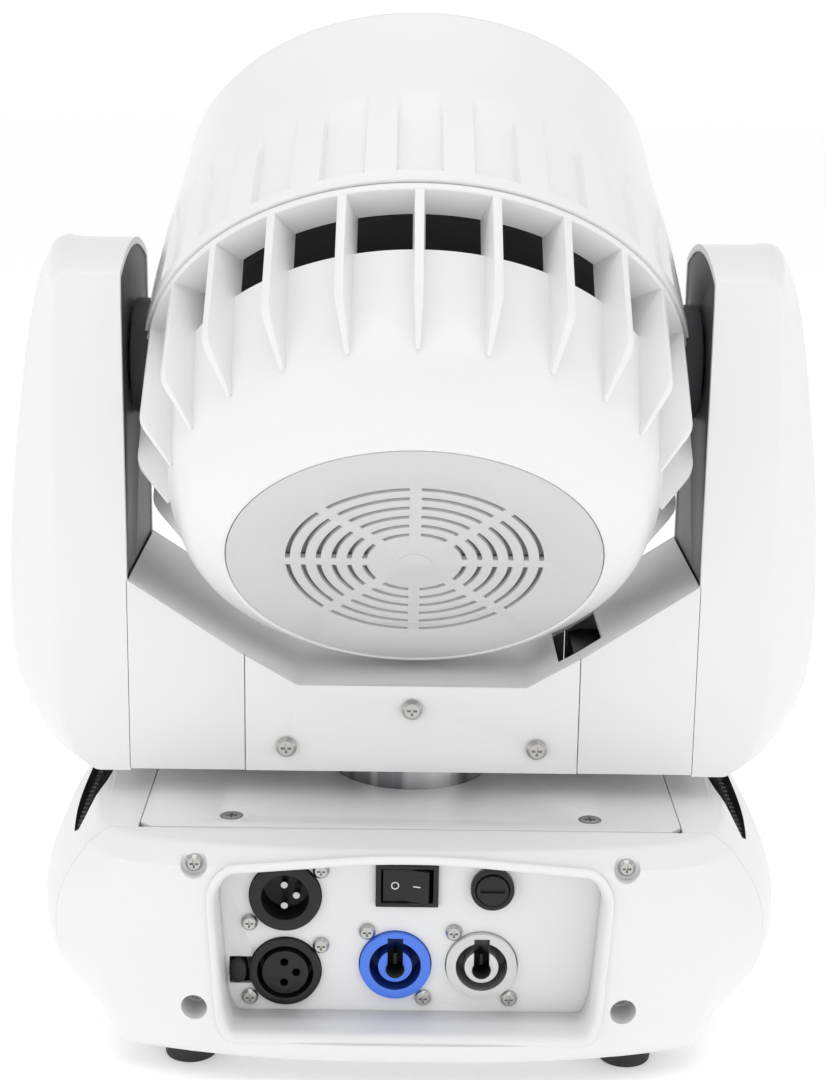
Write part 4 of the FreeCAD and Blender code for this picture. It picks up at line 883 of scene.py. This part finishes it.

# ---------------------------------------------------------------- mains sockets: wells with painted shade
# Inside each mains socket the well round the core is deep, and its deep faces take a darker copy
# of the socket colour as painted shade; the core is a horseshoe whose keyway has a round foot.

# Darker copies of the two socket colours, and a near black for the keyway bore: painted shade.
socket_blue_painted_shade = finish_of("socket_blue_painted_shade", (0.012, 0.04, 0.26), 0.5, grain=2600, drift=0.1)
socket_grey_painted_shade = finish_of("socket_grey_painted_shade", (0.2, 0.2, 0.2), 0.5, grain=2600, drift=0.1)
keyway_painted_shade = finish_of("keyway_painted_shade", (0.008, 0.009, 0.014), 0.6, grain=2000, drift=0.2)
SOCKET_Z, SOCKET_FACE_Y, KEY_RADIUS, WELL_RADIUS = 27.6, -75.4, 3.2, 10.4
KEY_DROP, KEY_DEEP = 1.2, 11
# Each socket's second finish is a darker copy of its colour: painted shade for the well's deep faces.
for name, node, slot, middle, finish, deep in (
        ("mains_input_well", "power_in_connector", "blue_plastic", -4.7, socket_blue, socket_blue_painted_shade),
        ("mains_output_well", "power_out_connector", "grey_plastic", 24.4, socket_grey, socket_grey_painted_shade)):
    well = broken_edges(name, node, 0.3, finish, deep)
    # The keyway bore takes a near-black finish: painted shade of the deep hole.
    key = bar(KEY_RADIUS, (middle, SOCKET_Z - KEY_DROP), "y", SOCKET_FACE_Y - 2, SOCKET_FACE_Y + KEY_DEEP,
              28, keyway_painted_shade)
    carve(well, key)
    well.data.update()
    # Faces more than 1.2 mm in, within the well radius, take that darker copy: painted shade.
    for face in well.data.polygons:
        across = math.hypot(face.center.x / MM - middle, face.center.z / MM - SOCKET_Z)
        if face.material_index == 0 and across < WELL_RADIUS and face.center.y / MM > SOCKET_FACE_Y + 1.2:
            face.material_index = 1
    fit_piece(well, "base", slot, node)

# Contacts inside the mains sockets, right of x = -20 mm, take a near-black metal as painted shade of the deep
# wells; the data pins stay nickel.
contact_painted_shade = finish_of("contact_painted_shade", (0.05, 0.045, 0.035), 0.5, grain=2500, drift=0.2, Metallic=1.0)
contacts = broken_edges("contacts", "connector_contacts", 0.12, nickel_plate, contact_painted_shade)
for face in contacts.data.polygons:
    face.material_index = int(face.center.x / MM > -20)
fit_piece(contacts, "base", "brass", "connector_contacts")

# ---------------------------------------------------------------- controls that move
# Rocker with its two plain state marks, the output socket's latch, the fuse cap and the
# four menu buttons; each rides on its own joint.

for name, node, body, width in (
        ("rocker", "switch_rocker", "rocker", 0.3), ("latch_tab", "dmx_out_latch", "latch", 2.6),
        ("fuse_knob", "fuse_cap", "fuse_cap", 0.4),
        *((f"button_cap_{n}", f"menu_button_{n}", f"button_{n}", 0.5) for n in (1, 2, 3, 4))):
    fit_piece(broken_edges(name, node, width, black_nylon, segments=3), body, "black_plastic", node)

mark_white = finish_of("mark_white", (0.75, 0.75, 0.75), 0.5, grain=1800, drift=0.05)
MARK_Z, MARK_HIGH = 56.5, 0.05


rocker_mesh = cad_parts["switch_rocker"].data
rocker_tree = BVHTree.FromPolygons([corner.co for corner in rocker_mesh.vertices],
                                   [face.vertices for face in rocker_mesh.polygons])


def rocker_face(x, z):
    """The rocker's surface point in front of a place on it."""
    return rocker_tree.ray_cast(Vector((x, -90, z)) * MM, Vector((0, 1, 0)))[0] / MM


def rocker_marks():
    points, faces = [], []
    turns = 28
    for i in range(turns):
        angle = 2 * math.pi * i / turns
        for reach in (1.0, 1.35):
            spot = rocker_face(-5.0 + reach * math.cos(angle), MARK_Z + reach * math.sin(angle))
            points.append(Vector((spot.x, spot.y - MARK_HIGH, spot.z)) * MM)
    for i in range(turns):
        a, b = 2 * i, 2 * ((i + 1) % turns)
        faces.append((a, a + 1, b + 1, b))
    first = len(points)
    for x, z in ((1.0, MARK_Z - 0.2), (3.4, MARK_Z - 0.2), (3.4, MARK_Z + 0.2), (1.0, MARK_Z + 0.2)):
        spot = rocker_face(x, z)
        points.append(Vector((spot.x, spot.y - MARK_HIGH, spot.z)) * MM)
    faces.append((first, first + 1, first + 2, first + 3))
    marks = piece_from("rocker_marks", points, faces, mark_white)
    solid = marks.modifiers.new("thick", "SOLIDIFY")
    solid.thickness = 0.04 * MM
    return settle(marks)


marks = rocker_marks()
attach(marks, "rocker")

# ---------------------------------------------------------------- yoke and head metalwork
# Folded sheet and turned parts of the yoke and head, edges broken. Behind the grille's
# slots lies a thin grey filter cloth that keeps dust out of the fan.

for name, node, body, width, finish, slot in (
        ("crossbar", "yoke_crossbar", "yoke", 0.3, white_powder, "white_metal"),
        ("floor_sheet", "yoke_floor", "yoke", 0.3, white_powder, "white_metal"),
        ("centre_covers", "yoke_centre_covers", "yoke", 0.35, white_abs, "white_shell"),
        ("inner_plate_right", "arm_plate_right", "yoke", 0.25, dark_coat, "dark_metal"),
        ("inner_plate_left", "arm_plate_left", "yoke", 0.25, dark_coat, "dark_metal"),
        ("hubs", "tilt_hubs", "head", 0.5, dark_coat, "dark_metal"),
        ("grille_disc", "rear_grille", "head", 0.15, grille_coat, "grille_grey")):
    fit_piece(broken_edges(name, node, width, finish), body, slot, node)

filter_cloth = finish_of("filter_cloth", (0.3, 0.3, 0.305), 0.95, grain=700, depth=0.0003, drift=0.3,
                         Specular_IOR_Level=0.1)
FILTER_EDGE = [(0.01, -82.5), (44, -82.5), (44.4, -82.1), (44, -81.6), (0.01, -81.6)]
pad = to_head(lathe("dust_filter", FILTER_EDGE, 64, filter_cloth))
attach(pad, "head")

# ---------------------------------------------------------------- studio
# A pale sweep of paper, broad soft lights and the camera.

backdrop_paper = finish_of("backdrop_paper", (0.92, 0.92, 0.92), 0.85, grain=800, depth=0.00003,
                           drift=0.01, Specular_IOR_Level=0.1, Emission_Color=(1, 1, 1, 1),
                           Emission_Strength=0.3)
FLOOR_Z = cad_box[0].z
ROOM, WALL_TOP = 14, 4
floor_ring = [(-ROOM, -ROOM), (ROOM, -ROOM), (ROOM, ROOM), (-ROOM, ROOM)]
room_walls = [(i, (i + 1) % 4, (i + 1) % 4 + 4, i + 4) for i in range(4)]
backdrop = piece_from("backdrop", [(x, y, z) for z in (FLOOR_Z, WALL_TOP) for x, y in floor_ring],
                      [(0, 1, 2, 3)] + room_walls, backdrop_paper)

world = bpy.data.worlds.new("studio")
world.use_nodes = True
world.node_tree.nodes["Background"].inputs["Color"].default_value = (1, 1, 1, 1)
world.node_tree.nodes["Background"].inputs["Strength"].default_value = 0.7
bpy.context.scene.world = world


def softbox(name, spot, aim, size, watts):
    lamp = bpy.data.lights.new(name, "AREA")
    lamp.shape, lamp.size, lamp.size_y, lamp.energy = "RECTANGLE", size[0], size[1], watts
    stand = bpy.data.objects.new(name, lamp)
    stand.location = spot
    stand.rotation_euler = (Vector(aim) - Vector(spot)).to_track_quat("-Z", "Y").to_euler()
    bpy.context.scene.collection.objects.link(stand)


softbox("top_light", (0, -0.2, 1.6), (0, 0, 0.15), (1.4, 1.2), 5.4)
softbox("left_light", (-1.3, -0.9, 0.7), (0, 0, 0.17), (0.9, 1.3), 2.5)
softbox("right_light", (1.3, -0.8, 0.6), (0, 0, 0.17), (0.9, 1.3), 1.8)
bpy.context.scene.view_settings.view_transform = "Standard"

camera_lens = bpy.data.cameras.new("camera")
camera_lens.sensor_width, camera_lens.lens = 36, 66.67
camera = bpy.data.objects.new("camera", camera_lens)
CAMERA_PLACE, CAMERA_TURN, CAMERA_TILT, CAMERA_ROLL = (-0.00326, -0.693, 0.332), -0.243, 75.8, 0.79
camera.matrix_world = (Matrix.Translation(CAMERA_PLACE)
                       @ Matrix.Rotation(math.radians(CAMERA_TURN), 4, "Z")
                       @ Matrix.Rotation(math.radians(CAMERA_TILT), 4, "X")
                       @ Matrix.Rotation(math.radians(CAMERA_ROLL), 4, "Z"))
bpy.context.scene.collection.objects.link(camera)
bpy.context.scene.camera = camera
